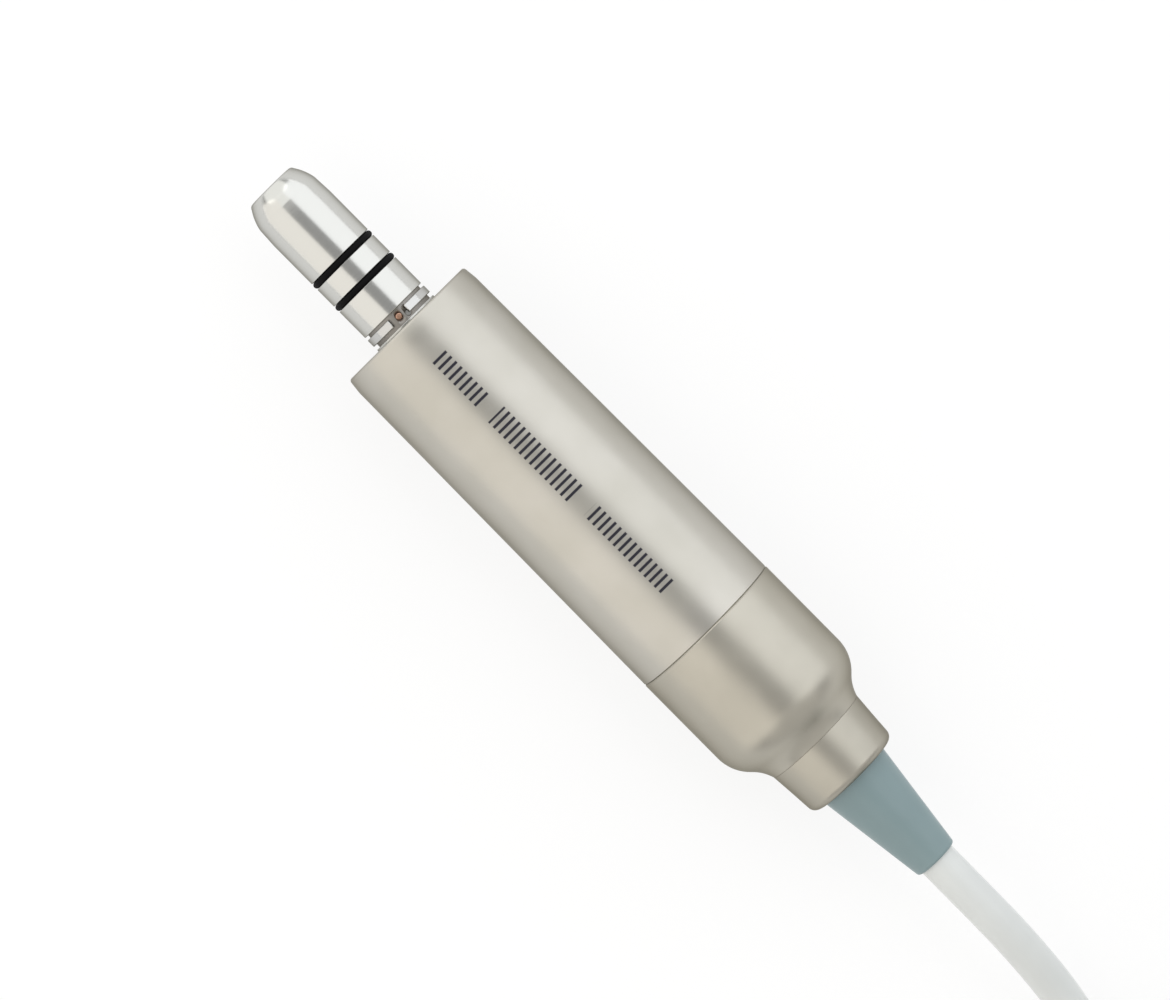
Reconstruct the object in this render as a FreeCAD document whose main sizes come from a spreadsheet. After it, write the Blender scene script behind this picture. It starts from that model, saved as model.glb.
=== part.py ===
import FreeCAD, Part
import Sketcher
import math
import os

# Surgical micromotor on its cord.
# Millimetres. The origin is the centre of the flat face that a handpiece seats on. +X runs along the
# motor's axis to the tip of its nose, the cord leaves toward -X, and +Z is up: the motor lies on its side.

SIZES = {
    # Nose that the handpiece slides over
    "spigot_dia": 10.9,
    "spigot_reach": 26.7,
    "lead_length": 6.2,
    "lead_drop": 0.43,
    "tip_cone_length": 1.9,
    "tip_cone_drop": 1.15,
    "tip_edge_rounding": 0.3,
    "tip_cone_rounding": 1.5,
    "socket_dia": 6.6,
    "socket_depth": 9.6,
    "drive_bore_dia": 6.0,
    # Rings on the nose
    "o_ring_section": 1.0,
    "o_ring_proud": 0.08,
    "o_ring_side_gap": 0.04,
    "rear_o_ring_station": 8.2,
    "o_ring_pitch": 4.35,
    "lock_groove_land": 0.28,
    "lock_groove_width": 2.32,
    "lock_groove_depth": 0.8,
    "snap_ring_station": 1.5,
    "snap_ring_width": 1.0,
    "snap_ring_proud": 0.06,
    "snap_ring_gap_angle": 33.0,
    "index_pin_dia": 1.0,
    "index_pin_depth": 1.2,
    "index_pin_proud": 0.5,
    "gauge_hole_dia": 0.7,
    "gauge_hole_depth": 0.6,
    "gauge_hole_offset": 1.45,
    # Barrel
    "barrel_length": 59.0,
    "barrel_front_dia": 22.75,
    "barrel_rear_dia": 23.5,
    "barrel_bore_dia": 20.0,
    "barrel_front_wall": 2.4,
    "rim_length": 2.2,
    "rim_drop": 0.25,
    "rim_rounding": 0.5,
    "nose_hole_chamfer": 0.25,
    "seam_bevel": 0.15,
    # Rear housing and cord collar
    "rear_housing_step": 0.05,
    "rear_housing_straight": 14.4,
    "shoulder_radius": 6.3,
    "cove_radius": 6.3,
    "neck_dia": 15.74,
    "rear_housing_wall": 1.6,
    "collar_front_step": 1.8,
    "joint_sleeve_length": 6.0,
    "joint_sleeve_wall": 1.38,
    "board_ledge": 0.7,
    "stub_dia": 13.4,
    "stub_wall": 0.9,
    "collar_length": 7.6,
    "collar_rear_dia": 15.2,
    "collar_rear_wall": 1.4,
    "collar_rounding": 1.1,
    "relief_flange_dia": 12.8,
    "relief_flange_thick": 1.2,
    "relief_root_dia": 11.2,
    "relief_reach": 16.5,
    "relief_tip_dia": 6.8,
    "relief_tip_rounding": 0.4,
    # Stack inside the barrel, from the front
    "flange_length": 3.2,
    "seal_dia": 10.0,
    "seal_length": 3.0,
    "seal_lip_dia": 5.2,
    "seal_web": 0.9,
    "front_bell_length": 7.0,
    "bell_hub_dia": 15.0,
    "bell_face": 2.2,
    "bell_shoulder": 0.8,
    "front_insulator_length": 3.4,
    "rear_insulator_length": 3.5,
    "rear_bell_length": 5.5,
    "winding_overhang": 2.4,
    "winding_inner_dia": 13.4,
    "winding_outer_dia": 15.6,
    "preload_spring_height": 0.6,
    "preload_spring_width": 1.0,
    "rear_bearing_depth": 1.2,
    "retaining_ring_thick": 0.5,
    "retaining_ring_inner_dia": 9.4,
    # Ball bearings, 5 by 11 by 3
    "bearing_bore_dia": 5.0,
    "bearing_outer_dia": 11.0,
    "bearing_width": 3.0,
    "ball_dia": 1.588,
    "ball_pitch_dia": 8.0,
    "ball_count": 7,
    "race_gap": 1.3,
    "race_clearance": 0.03,
    "cage_wall": 0.6,
    "cage_width": 2.1,
    # Rotor
    "magnet_overhang": 1.0,
    "magnet_dia": 12.0,
    "rotor_core_dia": 6.0,
    "rotor_sleeve_wall": 0.3,
    "balance_ring_length": 2.0,
    "balance_ring_dia": 11.6,
    "front_shoulder_dia": 6.4,
    "rear_journal_reach": 1.8,
    "sensor_seat_dia": 3.5,
    "sensor_magnet_dia": 9.0,
    "sensor_magnet_length": 2.0,
    "shaft_tail": 0.6,
    # Sprung drive dog on the front of the shaft
    "drive_shaft_dia": 3.0,
    "drive_flat_span": 2.4,
    "drive_flat_length": 10.0,
    "dog_dia": 5.6,
    "dog_length": 10.0,
    "dog_setback": 9.9,
    "dog_slot_width": 1.6,
    "dog_slot_depth": 2.2,
    "dog_nose_rounding": 0.5,
    "dog_counterbore_dia": 3.9,
    "dog_counterbore_depth": 3.2,
    "clip_dia": 3.7,
    "clip_thick": 0.5,
    "shaft_tip_past_clip": 0.3,
    "spring_shoulder_setback": 0.5,
    "spring_wire": 0.45,
    "spring_inner_dia": 3.8,
    "spring_pitch": 1.45,
    # Speed sensing
    "board_thick": 0.8,
    "board_hole_dia": 3.0,
    "sensor_count": 3,
    "sensor_size": 2.4,
    "sensor_thick": 1.0,
    "sensor_circle_dia": 9.0,
    "wire_count": 6,
    "wire_dia": 1.1,
    "wire_circle_dia": 3.4,
    "barrel_seal_section": 0.9,
    "barrel_seal_setback": 2.2,
    # Cord and plug
    "cord_dia": 5.6,
    "clamp_length": 5.6,
    "hank_straight": 67.6,
    "hank_fold_radius": 16.8,
    "hank_waist_length": 12.0,
    "hank_turns_wide": 2,
    "hank_layers": 3,
    "plug_dia": 12.5,
    "plug_body_length": 12.0,
    "plug_grip_length": 9.0,
    "plug_grip_dia": 12.1,
    "plug_grip_flutes": 12,
    "plug_flute_dia": 1.6,
    "plug_nose_dia": 10.0,
    "plug_nose_length": 9.0,
    "plug_nose_wall": 0.8,
    "plug_keyway_width": 2.0,
    "plug_keyway_depth": 0.45,
    "plug_insert_setback": 1.2,
    "plug_contact_dia": 0.9,
    "plug_contact_circle_dia": 5.4,
    "plug_contact_count": 8,
    "plug_contact_proud": 0.8,
    "plug_relief_length": 13.0,
    "plug_relief_root_dia": 9.0,
    "plug_relief_tip_wall": 0.6,
    "plug_relief_rounding": 0.3,
    "plug_rounding": 0.5,
    # Clearances between one piece and the next
    "fit_gap": 0.02,
    "slide_gap": 0.04,
    "spin_gap": 0.2,
}

# Where the middle of the hank lies on the table, behind the motor
HANK_CENTRE = (-206.0, -12.4)

# Points of the cord from the bend relief to the hank, after its exit
LEAD_ROUTE = [
    (-113.5, 0.0, 0.0),
    (-122.0, 0.1, -1.8),
    (-133.0, 1.0, -6.4),
    (-145.0, 4.0, -9.0),
    (-158.0, 8.2, -9.0),
    (-170.0, 10.0, -9.0),
    (-180.0, 10.2, -9.0),
]

# Points of the cord from the hank's top turn to its plug, which lies along the top of the hank
TAIL_ROUTE = [
    (-239.8, -29.2, 7.8),
    (-232.7, -29.2, 7.8),
    (-225.7, -28.0, 8.2),
    (-219.0, -25.7, 9.0),
    (-212.8, -22.3, 10.1),
    (-206.1, -19.9, 10.9),
    (-199.1, -18.7, 11.3),
    (-192.0, -18.7, 11.3),
]

doc = FreeCAD.newDocument("SurgicalMicromotor")
sheet = doc.addObject("Spreadsheet::Sheet", "Sizes")
for row, (name, number) in enumerate(SIZES.items(), start=1):
    sheet.set(f"A{row}", name)
    sheet.set(f"B{row}", str(number))
    sheet.setAlias(f"B{row}", name)
doc.recompute()


class Length:
    """A length of the model: its number, and the formula over the sheet's cells that gives it."""

    def __init__(self, value, formula):
        self.value = value
        self.formula = formula

    def __add__(self, other):
        other = as_length(other)
        return Length(self.value + other.value, f"({self.formula} + {other.formula})")

    def __sub__(self, other):
        other = as_length(other)
        return Length(self.value - other.value, f"({self.formula} - {other.formula})")

    def __mul__(self, other):
        other = as_length(other)
        return Length(self.value * other.value, f"({self.formula} * {other.formula})")

    def __truediv__(self, other):
        other = as_length(other)
        return Length(self.value / other.value, f"({self.formula} / {other.formula})")

    def __neg__(self):
        return Length(-self.value, f"(-{self.formula})")


def as_length(number):
    return number if isinstance(number, Length) else Length(float(number), str(float(number)))


def size(name):
    return Length(float(sheet.get(name)), f"Sizes.{name}")


ZERO = as_length(0)


def other_side(longest, side):
    """The other short side of a right-angled triangle."""
    number = math.sqrt(longest.value**2 - side.value**2)
    return Length(number, f"sqrt({longest.formula} ^ 2 - {side.formula} ^ 2)")


def on_circle(radius, step, count):
    """How far across and up a point lies that is so many steps of a full turn around a circle."""
    turn = 2 * math.pi * step / count.value
    formula = f"({step} * 360 / {count.formula})"
    across = Length(radius.value * math.cos(turn), f"{radius.formula} * cos{formula}")
    up = Length(radius.value * math.sin(turn), f"{radius.formula} * sin{formula}")
    return across, up


def bind(target, prop, length):
    target.setExpression(prop, length.formula)


def origin_plane(body, role):
    return next(plane for plane in body.Origin.OriginFeatures if plane.Role == role)


def new_body(label, station, toward_rear=True):
    """A body whose own +X runs along the motor's axis, toward its rear, from a front face."""
    body = doc.addObject("PartDesign::Body", label)
    body.Label = label
    turn = FreeCAD.Rotation(FreeCAD.Vector(0, 0, 1), 180 if toward_rear else 0)
    body.Placement = FreeCAD.Placement(FreeCAD.Vector(0, 0, 0), turn)
    bind(body, "Placement.Base.x", station)
    return body


def new_sketch(body, role, name):
    sketch = body.newObject("Sketcher::SketchObject", body.Label + name)
    sketch.AttachmentSupport = [(origin_plane(body, role), "")]
    sketch.MapMode = "FlatFace"
    return sketch


def hold(sketch, kind, *where_and_length):
    """A dimension of a sketch that follows its formula."""
    *where, length = where_and_length
    index = sketch.addConstraint(Sketcher.Constraint(kind, *where, length.value))
    sketch.setExpression(f"Constraints[{index}]", length.formula)


def pin_point(sketch, edge, end, across, up):
    """Dimensions one end of an edge from the sketch's origin; a length of ZERO puts it on the axis."""
    for kind, axis, distance in (("DistanceX", -2, across), ("DistanceY", -1, up)):
        if distance is ZERO:
            sketch.addConstraint(Sketcher.Constraint("PointOnObject", edge, end, axis))
        else:
            hold(sketch, kind, -1, 1, edge, end, distance)


def vector(across, up):
    return FreeCAD.Vector(across.value, up.value, 0)


class Corner:
    """A corner of an outline. It may be rounded, and the edge after it may bend left or right."""

    def __init__(self, across, up, rounding=None, bend_left=None, bend_right=None):
        self.across = across
        self.up = up
        self.rounding = rounding
        self.bend = bend_left or bend_right
        self.turns_left = bend_left is not None
        self.point = vector(across, up)


def add_arc(sketch, centre, first, last, turns_left):
    """An arc from one point to another. It gives the arc, and which of its ends is first and last."""
    circle = Part.Circle(centre, FreeCAD.Vector(0, 0, 1), centre.distanceToPoint(first))
    ends = (first, last) if turns_left else (last, first)
    angles = [math.atan2(point.y - centre.y, point.x - centre.x) for point in ends]
    arc = sketch.addGeometry(Part.ArcOfCircle(circle, *angles), False)
    return (arc, 1, 2) if turns_left else (arc, 2, 1)


def add_edge(sketch, corner, following):
    """The straight or bent edge between two corners of an outline."""
    here, there = corner.point, following.point
    if corner.bend is None:
        return (sketch.addGeometry(Part.LineSegment(here, there), False), 1, 2)
    half = here.distanceToPoint(there) / 2
    along = (there - here).normalize()
    left = FreeCAD.Vector(-along.y, along.x, 0) * (1 if corner.turns_left else -1)
    centre = (here + there) / 2 + left * math.sqrt(corner.bend.value**2 - half**2)
    edge = add_arc(sketch, centre, here, there, corner.turns_left)
    hold(sketch, "Radius", edge[0], corner.bend)
    return edge


def round_corner(sketch, before, corner, after, previous, following):
    """An arc tangent to the two straight edges that meet at a corner, whose place stays dimensioned."""
    back = (previous.point - corner.point).normalize()
    ahead = (following.point - corner.point).normalize()
    half_angle = math.acos(back.dot(ahead)) / 2
    start = corner.point + back * (corner.rounding.value / math.tan(half_angle))
    end = corner.point + ahead * (corner.rounding.value / math.tan(half_angle))
    centre = corner.point + (back + ahead).normalize() * (corner.rounding.value / math.sin(half_angle))
    turns_left = back.x * ahead.y - back.y * ahead.x < 0
    sketch.moveGeometry(before[0], before[2], start)
    sketch.moveGeometry(after[0], after[1], end)
    arc, arc_first, arc_last = add_arc(sketch, centre, start, end, turns_left)
    sketch.addConstraint(Sketcher.Constraint("Tangent", before[0], before[2], arc, arc_first))
    sketch.addConstraint(Sketcher.Constraint("Tangent", arc, arc_last, after[0], after[1]))
    hold(sketch, "Radius", arc, corner.rounding)
    sharp = sketch.addGeometry(Part.Point(corner.point), True)
    sketch.addConstraint(Sketcher.Constraint("PointOnObject", sharp, 1, before[0]))
    sketch.addConstraint(Sketcher.Constraint("PointOnObject", sharp, 1, after[0]))
    pin_point(sketch, sharp, 1, corner.across, corner.up)


def draw_outline(sketch, outline):
    """A closed outline, from its corners in order."""
    corners = [item if isinstance(item, Corner) else Corner(*item) for item in outline]
    following = corners[1:] + corners[:1]
    edges = [add_edge(sketch, corner, after) for corner, after in zip(corners, following)]
    for index, corner in enumerate(corners):
        before, after = edges[index - 1], edges[index]
        if corner.rounding is None:
            ends = (before[0], before[2], after[0], after[1])
            sketch.addConstraint(Sketcher.Constraint("Coincident", *ends))
            pin_point(sketch, after[0], after[1], corner.across, corner.up)
        else:
            round_corner(sketch, before, corner, after, corners[index - 1], following[index])


def revolve(body, sketch):
    turn = body.newObject("PartDesign::Revolution", body.Label + "Turn")
    turn.Profile = sketch
    turn.ReferenceAxis = (sketch, ["H_Axis"])
    turn.Angle = 360
    return turn


def rectangle(left, right, low, high):
    return [(left, low), (right, low), (right, high), (left, high)]


def turned(label, station, outline, toward_rear=True):
    """A piece turned on the lathe: its half outline, along the axis and out from it, once around."""
    body = new_body(label, station, toward_rear)
    sketch = new_sketch(body, "XZ_Plane", "Outline")
    draw_outline(sketch, outline)
    revolve(body, sketch)
    return body


def ring(label, station, length, inner, outer):
    """A plain turned ring."""
    return turned(label, station, rectangle(ZERO, length, inner, outer))


def cove_height(run):
    """How far out the cove is, that far in front of where it has run out on the neck."""
    return neck_radius + size("cove_radius") - other_side(size("cove_radius"), run)


def place(item, along, across, up):
    bind(item, "Placement.Base.x", along)
    bind(item, "Placement.Base.y", across)
    bind(item, "Placement.Base.z", up)


def group(label, items):
    """Separate solids of one kind, kept as one piece."""
    compound = doc.addObject("Part::Compound", label)
    compound.Label = label
    compound.Links = items
    return compound


def axis_of(body):
    sketch = next(item for item in body.Group if item.TypeId == "Sketcher::SketchObject")
    return (sketch, ["H_Axis"])


def drill(body, name, along, across, radius, depth_from):
    """A round hole from the top of a turned piece, down to a height above its axis."""
    sketch = new_sketch(body, "XY_Plane", name)
    circle = Part.Circle(vector(along, across), FreeCAD.Vector(0, 0, 1), radius.value)
    circle = sketch.addGeometry(circle, False)
    pin_point(sketch, circle, 3, along, across)
    hold(sketch, "Radius", circle, radius)
    bind(sketch, "AttachmentOffset.Base.z", depth_from)
    pocket = body.newObject("PartDesign::Pocket", body.Label + name + "Cut")
    pocket.Profile = sketch
    pocket.Type = 1
    pocket.Reversed = True
    return pocket


def drill_flute(body, length, radius):
    """A round-bottomed groove along the top of a turned piece, open at both of its ends."""
    sketch = new_sketch(body, "YZ_Plane", "Flute")
    circle = Part.Circle(vector(ZERO, radius), FreeCAD.Vector(0, 0, 1), size("plug_flute_dia").value / 2)
    circle = sketch.addGeometry(circle, False)
    pin_point(sketch, circle, 3, ZERO, radius)
    hold(sketch, "Radius", circle, size("plug_flute_dia") / 2)
    pocket = body.newObject("PartDesign::Pocket", body.Label + "FluteCut")
    pocket.Profile = sketch
    pocket.Type = 0
    pocket.Reversed = True
    bind(pocket, "Length", length)
    return pocket


def broach(body, name, length, outline):
    """A cut of any outline along a turned piece's axis, from its front face."""
    sketch = new_sketch(body, "YZ_Plane", name)
    draw_outline(sketch, outline)
    pocket = body.newObject("PartDesign::Pocket", body.Label + name + "Cut")
    pocket.Profile = sketch
    pocket.Type = 0
    pocket.Reversed = True
    bind(pocket, "Length", length)
    return pocket


def mill_through(body, name, outlines):
    """A cut with straight sides, right through a turned piece from side to side."""
    sketch = new_sketch(body, "XZ_Plane", name)
    for outline in outlines:
        draw_outline(sketch, outline)
    pocket = body.newObject("PartDesign::Pocket", body.Label + name + "Cut")
    pocket.Profile = sketch
    pocket.Type = 1
    pocket.Midplane = True
    return pocket


def around(body, feature, count):
    """Repeats a cut evenly around the axis."""
    pattern = body.newObject("PartDesign::PolarPattern", body.Label + "Around")
    pattern.Originals = [feature]
    pattern.Axis = axis_of(body)
    pattern.Angle = 360
    bind(pattern, "Occurrences", count)
    body.Tip = pattern


FIT = size("fit_gap")
ARC_SHARE = 0.45
ALONG_X = FreeCAD.Rotation(FreeCAD.Vector(0, 1, 0), 90)
SLIDE = size("slide_gap")
SPIN = size("spin_gap")
PARTS = []


def keep(part):
    """Puts a piece on the list of what is written out."""
    PARTS.append(part)
    return part


# Where the pieces start, along the motor's axis
spigot_radius = size("spigot_dia") / 2
tip = size("spigot_reach")
flange_front = -size("barrel_front_wall")
bell_front = flange_front - size("flange_length")
insulator_front = bell_front - size("front_bell_length")
laminations_front = insulator_front - size("front_insulator_length")
seam = -size("barrel_length")
sleeve_front = seam + size("joint_sleeve_length")
rear_bell_front = sleeve_front + size("rear_bell_length")
laminations_rear = rear_bell_front + size("rear_insulator_length")
laminations_length = laminations_front - laminations_rear
barrel_bore = size("barrel_bore_dia") / 2
liner = barrel_bore - FIT
bearing_radius = size("bearing_outer_dia") / 2
bearing_bore = size("bearing_bore_dia") / 2
bearing_width = size("bearing_width")
journal = bearing_bore - FIT
front_bearing = bell_front
rear_bearing = sleeve_front + size("rear_bearing_depth") + bearing_width
shoulder_start = size("rear_housing_straight")
neck_radius = size("neck_dia") / 2
rear_radius = size("barrel_rear_dia") / 2 + size("rear_housing_step")
both_radii = size("shoulder_radius") + size("cove_radius")
sweep_rise = both_radii - (rear_radius - neck_radius)
sweep_run = other_side(both_radii, sweep_rise)
neck_start = shoulder_start + sweep_run
collar_seam = neck_start - size("collar_front_step")
collar_front = seam - collar_seam
collar_rear = collar_front - size("collar_length")
relief_flange_rear = collar_rear + size("collar_rear_wall")
stub_rear = relief_flange_rear + size("relief_flange_thick")
relief_tip = collar_rear - size("relief_reach")
cord_radius = size("cord_dia") / 2
clamp_front = stub_rear + size("clamp_length")
board_rear = sleeve_front - size("joint_sleeve_length") + size("board_ledge")
board_front = board_rear + size("board_thick")
dog_front = tip - size("dog_setback")
dog_rear = dog_front - size("dog_length")
clip_front = dog_front - size("dog_counterbore_depth") + size("clip_thick")
shaft_tip = clip_front + size("shaft_tip_past_clip")
spring_shoulder = -size("spring_shoulder_setback")
shaft_rear_shoulder = rear_bearing - bearing_width - size("rear_journal_reach")
shaft_end = shaft_rear_shoulder - size("sensor_magnet_length") - size("shaft_tail")
magnet_front = laminations_front + size("magnet_overhang") + size("balance_ring_length")
magnet_rear = laminations_rear - size("magnet_overhang")


def nose():
    """The spigot, its ring grooves, the drive bore through it and the flange that the barrel traps."""
    groove_radius = spigot_radius - size("o_ring_section") + size("o_ring_proud") - FIT
    groove_half = size("o_ring_section") / 2 + size("o_ring_side_gap")
    lock_floor = spigot_radius - size("lock_groove_depth")
    lock_near = tip - size("lock_groove_land")
    lock_far = lock_near - size("lock_groove_width")
    rear_ring = tip - size("rear_o_ring_station")
    front_ring = rear_ring - size("o_ring_pitch")
    flange = tip - flange_front
    flange_rear = tip - bell_front
    socket = size("socket_dia") / 2
    bore = size("drive_bore_dia") / 2
    seal_bore = size("seal_dia") / 2
    face = spigot_radius - size("lead_drop") - size("tip_cone_drop")
    piece = turned("nose_spigot", tip, [
        (ZERO, socket),
        (size("socket_depth"), socket),
        (size("socket_depth"), bore),
        (flange_rear - size("seal_length"), bore),
        (flange_rear - size("seal_length"), seal_bore),
        (flange_rear, seal_bore),
        (flange_rear, liner),
        (flange, liner),
        (flange, spigot_radius),
        (lock_near, spigot_radius),
        (lock_near, lock_floor),
        (lock_far, lock_floor),
        (lock_far, spigot_radius),
        (rear_ring + groove_half, spigot_radius),
        (rear_ring + groove_half, groove_radius),
        (rear_ring - groove_half, groove_radius),
        (rear_ring - groove_half, spigot_radius),
        (front_ring + groove_half, spigot_radius),
        (front_ring + groove_half, groove_radius),
        (front_ring - groove_half, groove_radius),
        (front_ring - groove_half, spigot_radius),
        (size("lead_length"), spigot_radius),
        (size("tip_cone_length"), spigot_radius - size("lead_drop"), size("tip_cone_rounding")),
        (ZERO, face, size("tip_edge_rounding")),
    ])
    pin_place = tip - size("snap_ring_station")
    drill(piece, "PinHole", pin_place, ZERO, size("index_pin_dia") / 2 + FIT,
          lock_floor - size("index_pin_depth"))
    drill(piece, "GaugeHole", pin_place, size("gauge_hole_offset"), size("gauge_hole_dia") / 2,
          lock_floor - size("gauge_hole_depth"))
    return piece


def o_ring(label, station, centre_radius, section):
    """A round rubber ring about the motor's axis."""
    torus = doc.addObject("Part::Torus", label)
    torus.Label = label
    bind(torus, "Radius1", centre_radius)
    bind(torus, "Radius2", section / 2)
    torus.Placement = FreeCAD.Placement(FreeCAD.Vector(), ALONG_X)
    bind(torus, "Placement.Base.x", station)
    return torus


def snap_ring():
    """The split spring ring in the lock groove, open at the top round the index pin."""
    outer = spigot_radius + size("snap_ring_proud")
    inner = spigot_radius - size("lock_groove_depth") + FIT
    width = size("snap_ring_width")
    body = new_body("snap_ring", size("snap_ring_station") + width / 2)
    sketch = new_sketch(body, "XZ_Plane", "Outline")
    draw_outline(sketch, rectangle(ZERO, width, -outer, -inner))
    turn = revolve(body, sketch)
    turn.Midplane = True
    bind(turn, "Angle", as_length(360) - size("snap_ring_gap_angle"))
    return body


def index_pin():
    """The brass pin that stands in the snap ring's gap and stops it turning."""
    pin = doc.addObject("Part::Cylinder", "index_pin")
    pin.Label = "index_pin"
    foot = spigot_radius - size("lock_groove_depth") - size("index_pin_depth")
    bind(pin, "Radius", size("index_pin_dia") / 2)
    bind(pin, "Height", size("index_pin_depth") + size("index_pin_proud"))
    bind(pin, "Placement.Base.x", size("snap_ring_station"))
    bind(pin, "Placement.Base.z", foot)
    return pin


def shaft_seal():
    """The lip seal behind the nose, open to the rear round the shaft."""
    outer = size("seal_dia") / 2 - FIT
    lip = size("seal_lip_dia") / 2
    length = size("seal_length")
    web = size("seal_web")
    return turned("shaft_seal", bell_front + length, [
        (ZERO, lip),
        (web, lip),
        (web, outer - web),
        (length, outer - web),
        (length, outer),
        (ZERO, outer),
    ])


def barrel():
    """The long tapered tube of the motor's body, closed at the front round the nose."""
    length = size("barrel_length")
    front = size("barrel_front_dia") / 2
    rear = size("barrel_rear_dia") / 2
    wall = size("barrel_front_wall")
    bevel = size("seam_bevel")
    hole = spigot_radius + FIT
    chamfer = size("nose_hole_chamfer")
    return turned("barrel", ZERO, [
        (ZERO, hole + chamfer),
        (chamfer, hole),
        (wall, hole),
        (wall, barrel_bore),
        (length, barrel_bore),
        (length, rear - bevel),
        (length - bevel, rear),
        (size("rim_length"), front),
        (ZERO, front - size("rim_drop"), size("rim_rounding")),
    ])


def rear_housing():
    """The rear casing: a straight band, a shoulder that sweeps into a cove, and the collar's stub."""
    lead = size("joint_sleeve_length")
    bevel = size("seam_bevel")
    wall = size("rear_housing_wall")
    shoulder = size("shoulder_radius")
    cove = size("cove_radius")
    inner_shoulder = shoulder - wall
    cavity = rear_radius - wall
    sleeve_bore = liner - size("joint_sleeve_wall")
    ledge_bore = sleeve_bore - size("board_ledge")
    ledge = lead - size("board_ledge")
    web = lead + wall
    seal_far = lead - size("barrel_seal_setback")
    seal_near = seal_far - size("barrel_seal_section") - SPIN
    seal_floor = liner - size("barrel_seal_section")
    stub = size("stub_dia") / 2
    stub_bore = stub - size("stub_wall")
    stub_end = sleeve_front - stub_rear
    start = lead + shoulder_start
    end = lead + collar_seam

    # The two outer sweeps meet on the line between their centres, and the inner one ends on it too
    shoulder_up = rear_radius - shoulder
    meet = start + sweep_run * (shoulder / both_radii)
    meet_up = shoulder_up + sweep_rise * (shoulder / both_radii)
    inner_meet = start + sweep_run * (inner_shoulder / both_radii)
    inner_meet_up = shoulder_up + sweep_rise * (inner_shoulder / both_radii)
    funnel_end = inner_meet + (inner_meet_up - stub_bore) * (sweep_rise / sweep_run)
    return turned("rear_housing", sleeve_front, [
        (ZERO, sleeve_bore),
        (ledge, sleeve_bore),
        (ledge, ledge_bore),
        (web, ledge_bore),
        (web, cavity),
        Corner(start, cavity, bend_right=inner_shoulder),
        (inner_meet, inner_meet_up),
        (funnel_end, stub_bore),
        (stub_end, stub_bore),
        (stub_end, stub),
        (end, stub),
        Corner(end, cove_height(size("collar_front_step")), bend_right=cove),
        Corner(meet, meet_up, bend_left=shoulder),
        (start, rear_radius),
        (lead + bevel, rear_radius),
        (lead, rear_radius - bevel),
        (lead, liner),
        (seal_far, liner),
        (seal_far, seal_floor),
        (seal_near, seal_floor),
        (seal_near, liner),
        (ZERO, liner),
    ])


def cord_collar():
    """The screwed collar that holds the bend relief: the cove runs out on its front edge."""
    length = size("collar_length")
    run = size("collar_front_step")
    bore = size("stub_dia") / 2 + FIT
    hole = size("relief_root_dia") / 2 + FIT
    wall = length - size("collar_rear_wall")
    return turned("cord_collar", collar_front, [
        (ZERO, bore),
        (wall, bore),
        (wall, hole),
        (length, hole),
        (length, size("collar_rear_dia") / 2, size("collar_rounding")),
        Corner(run, neck_radius, bend_right=size("cove_radius")),
        (ZERO, cove_height(run)),
    ])


def bend_relief():
    """The tapered silicone boot that the collar traps by its flange."""
    flange = size("relief_flange_thick")
    neck = flange + size("collar_rear_wall")
    end = neck + size("relief_reach")
    bore = cord_radius + FIT
    root = size("relief_root_dia") / 2
    return turned("bend_relief", stub_rear, [
        (ZERO, bore),
        (end, bore),
        (end, size("relief_tip_dia") / 2, size("relief_tip_rounding")),
        (neck, root),
        (flange, root),
        (flange, size("relief_flange_dia") / 2),
        (ZERO, size("relief_flange_dia") / 2),
    ])


def front_bell():
    """The front end bell: a hub round the bearing, and a rim that carries on to the stator."""
    length = size("front_bell_length")
    seat = bearing_radius + FIT
    hub = size("bell_hub_dia") / 2
    shoulder = bearing_radius - size("bell_shoulder")
    return turned("front_bell", bell_front, [
        (ZERO, seat),
        (bearing_width, seat),
        (bearing_width, shoulder),
        (bearing_width + size("bell_face"), shoulder),
        (bearing_width + size("bell_face"), hub),
        (length, hub),
        (length, liner),
        (ZERO, liner),
    ])


def rear_bell():
    """The rear end bell: the bearing slides in from the rear, against a flat preload spring."""
    length = size("rear_bell_length")
    seat = bearing_radius + FIT
    spring_floor = length - size("rear_bearing_depth") - bearing_width - size("preload_spring_height")
    return turned("rear_bell", rear_bell_front, [
        (ZERO, bearing_radius - size("bell_shoulder")),
        (spring_floor, bearing_radius - size("bell_shoulder")),
        (spring_floor, seat),
        (length, seat),
        (length, liner),
        (ZERO, liner),
    ])


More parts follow.
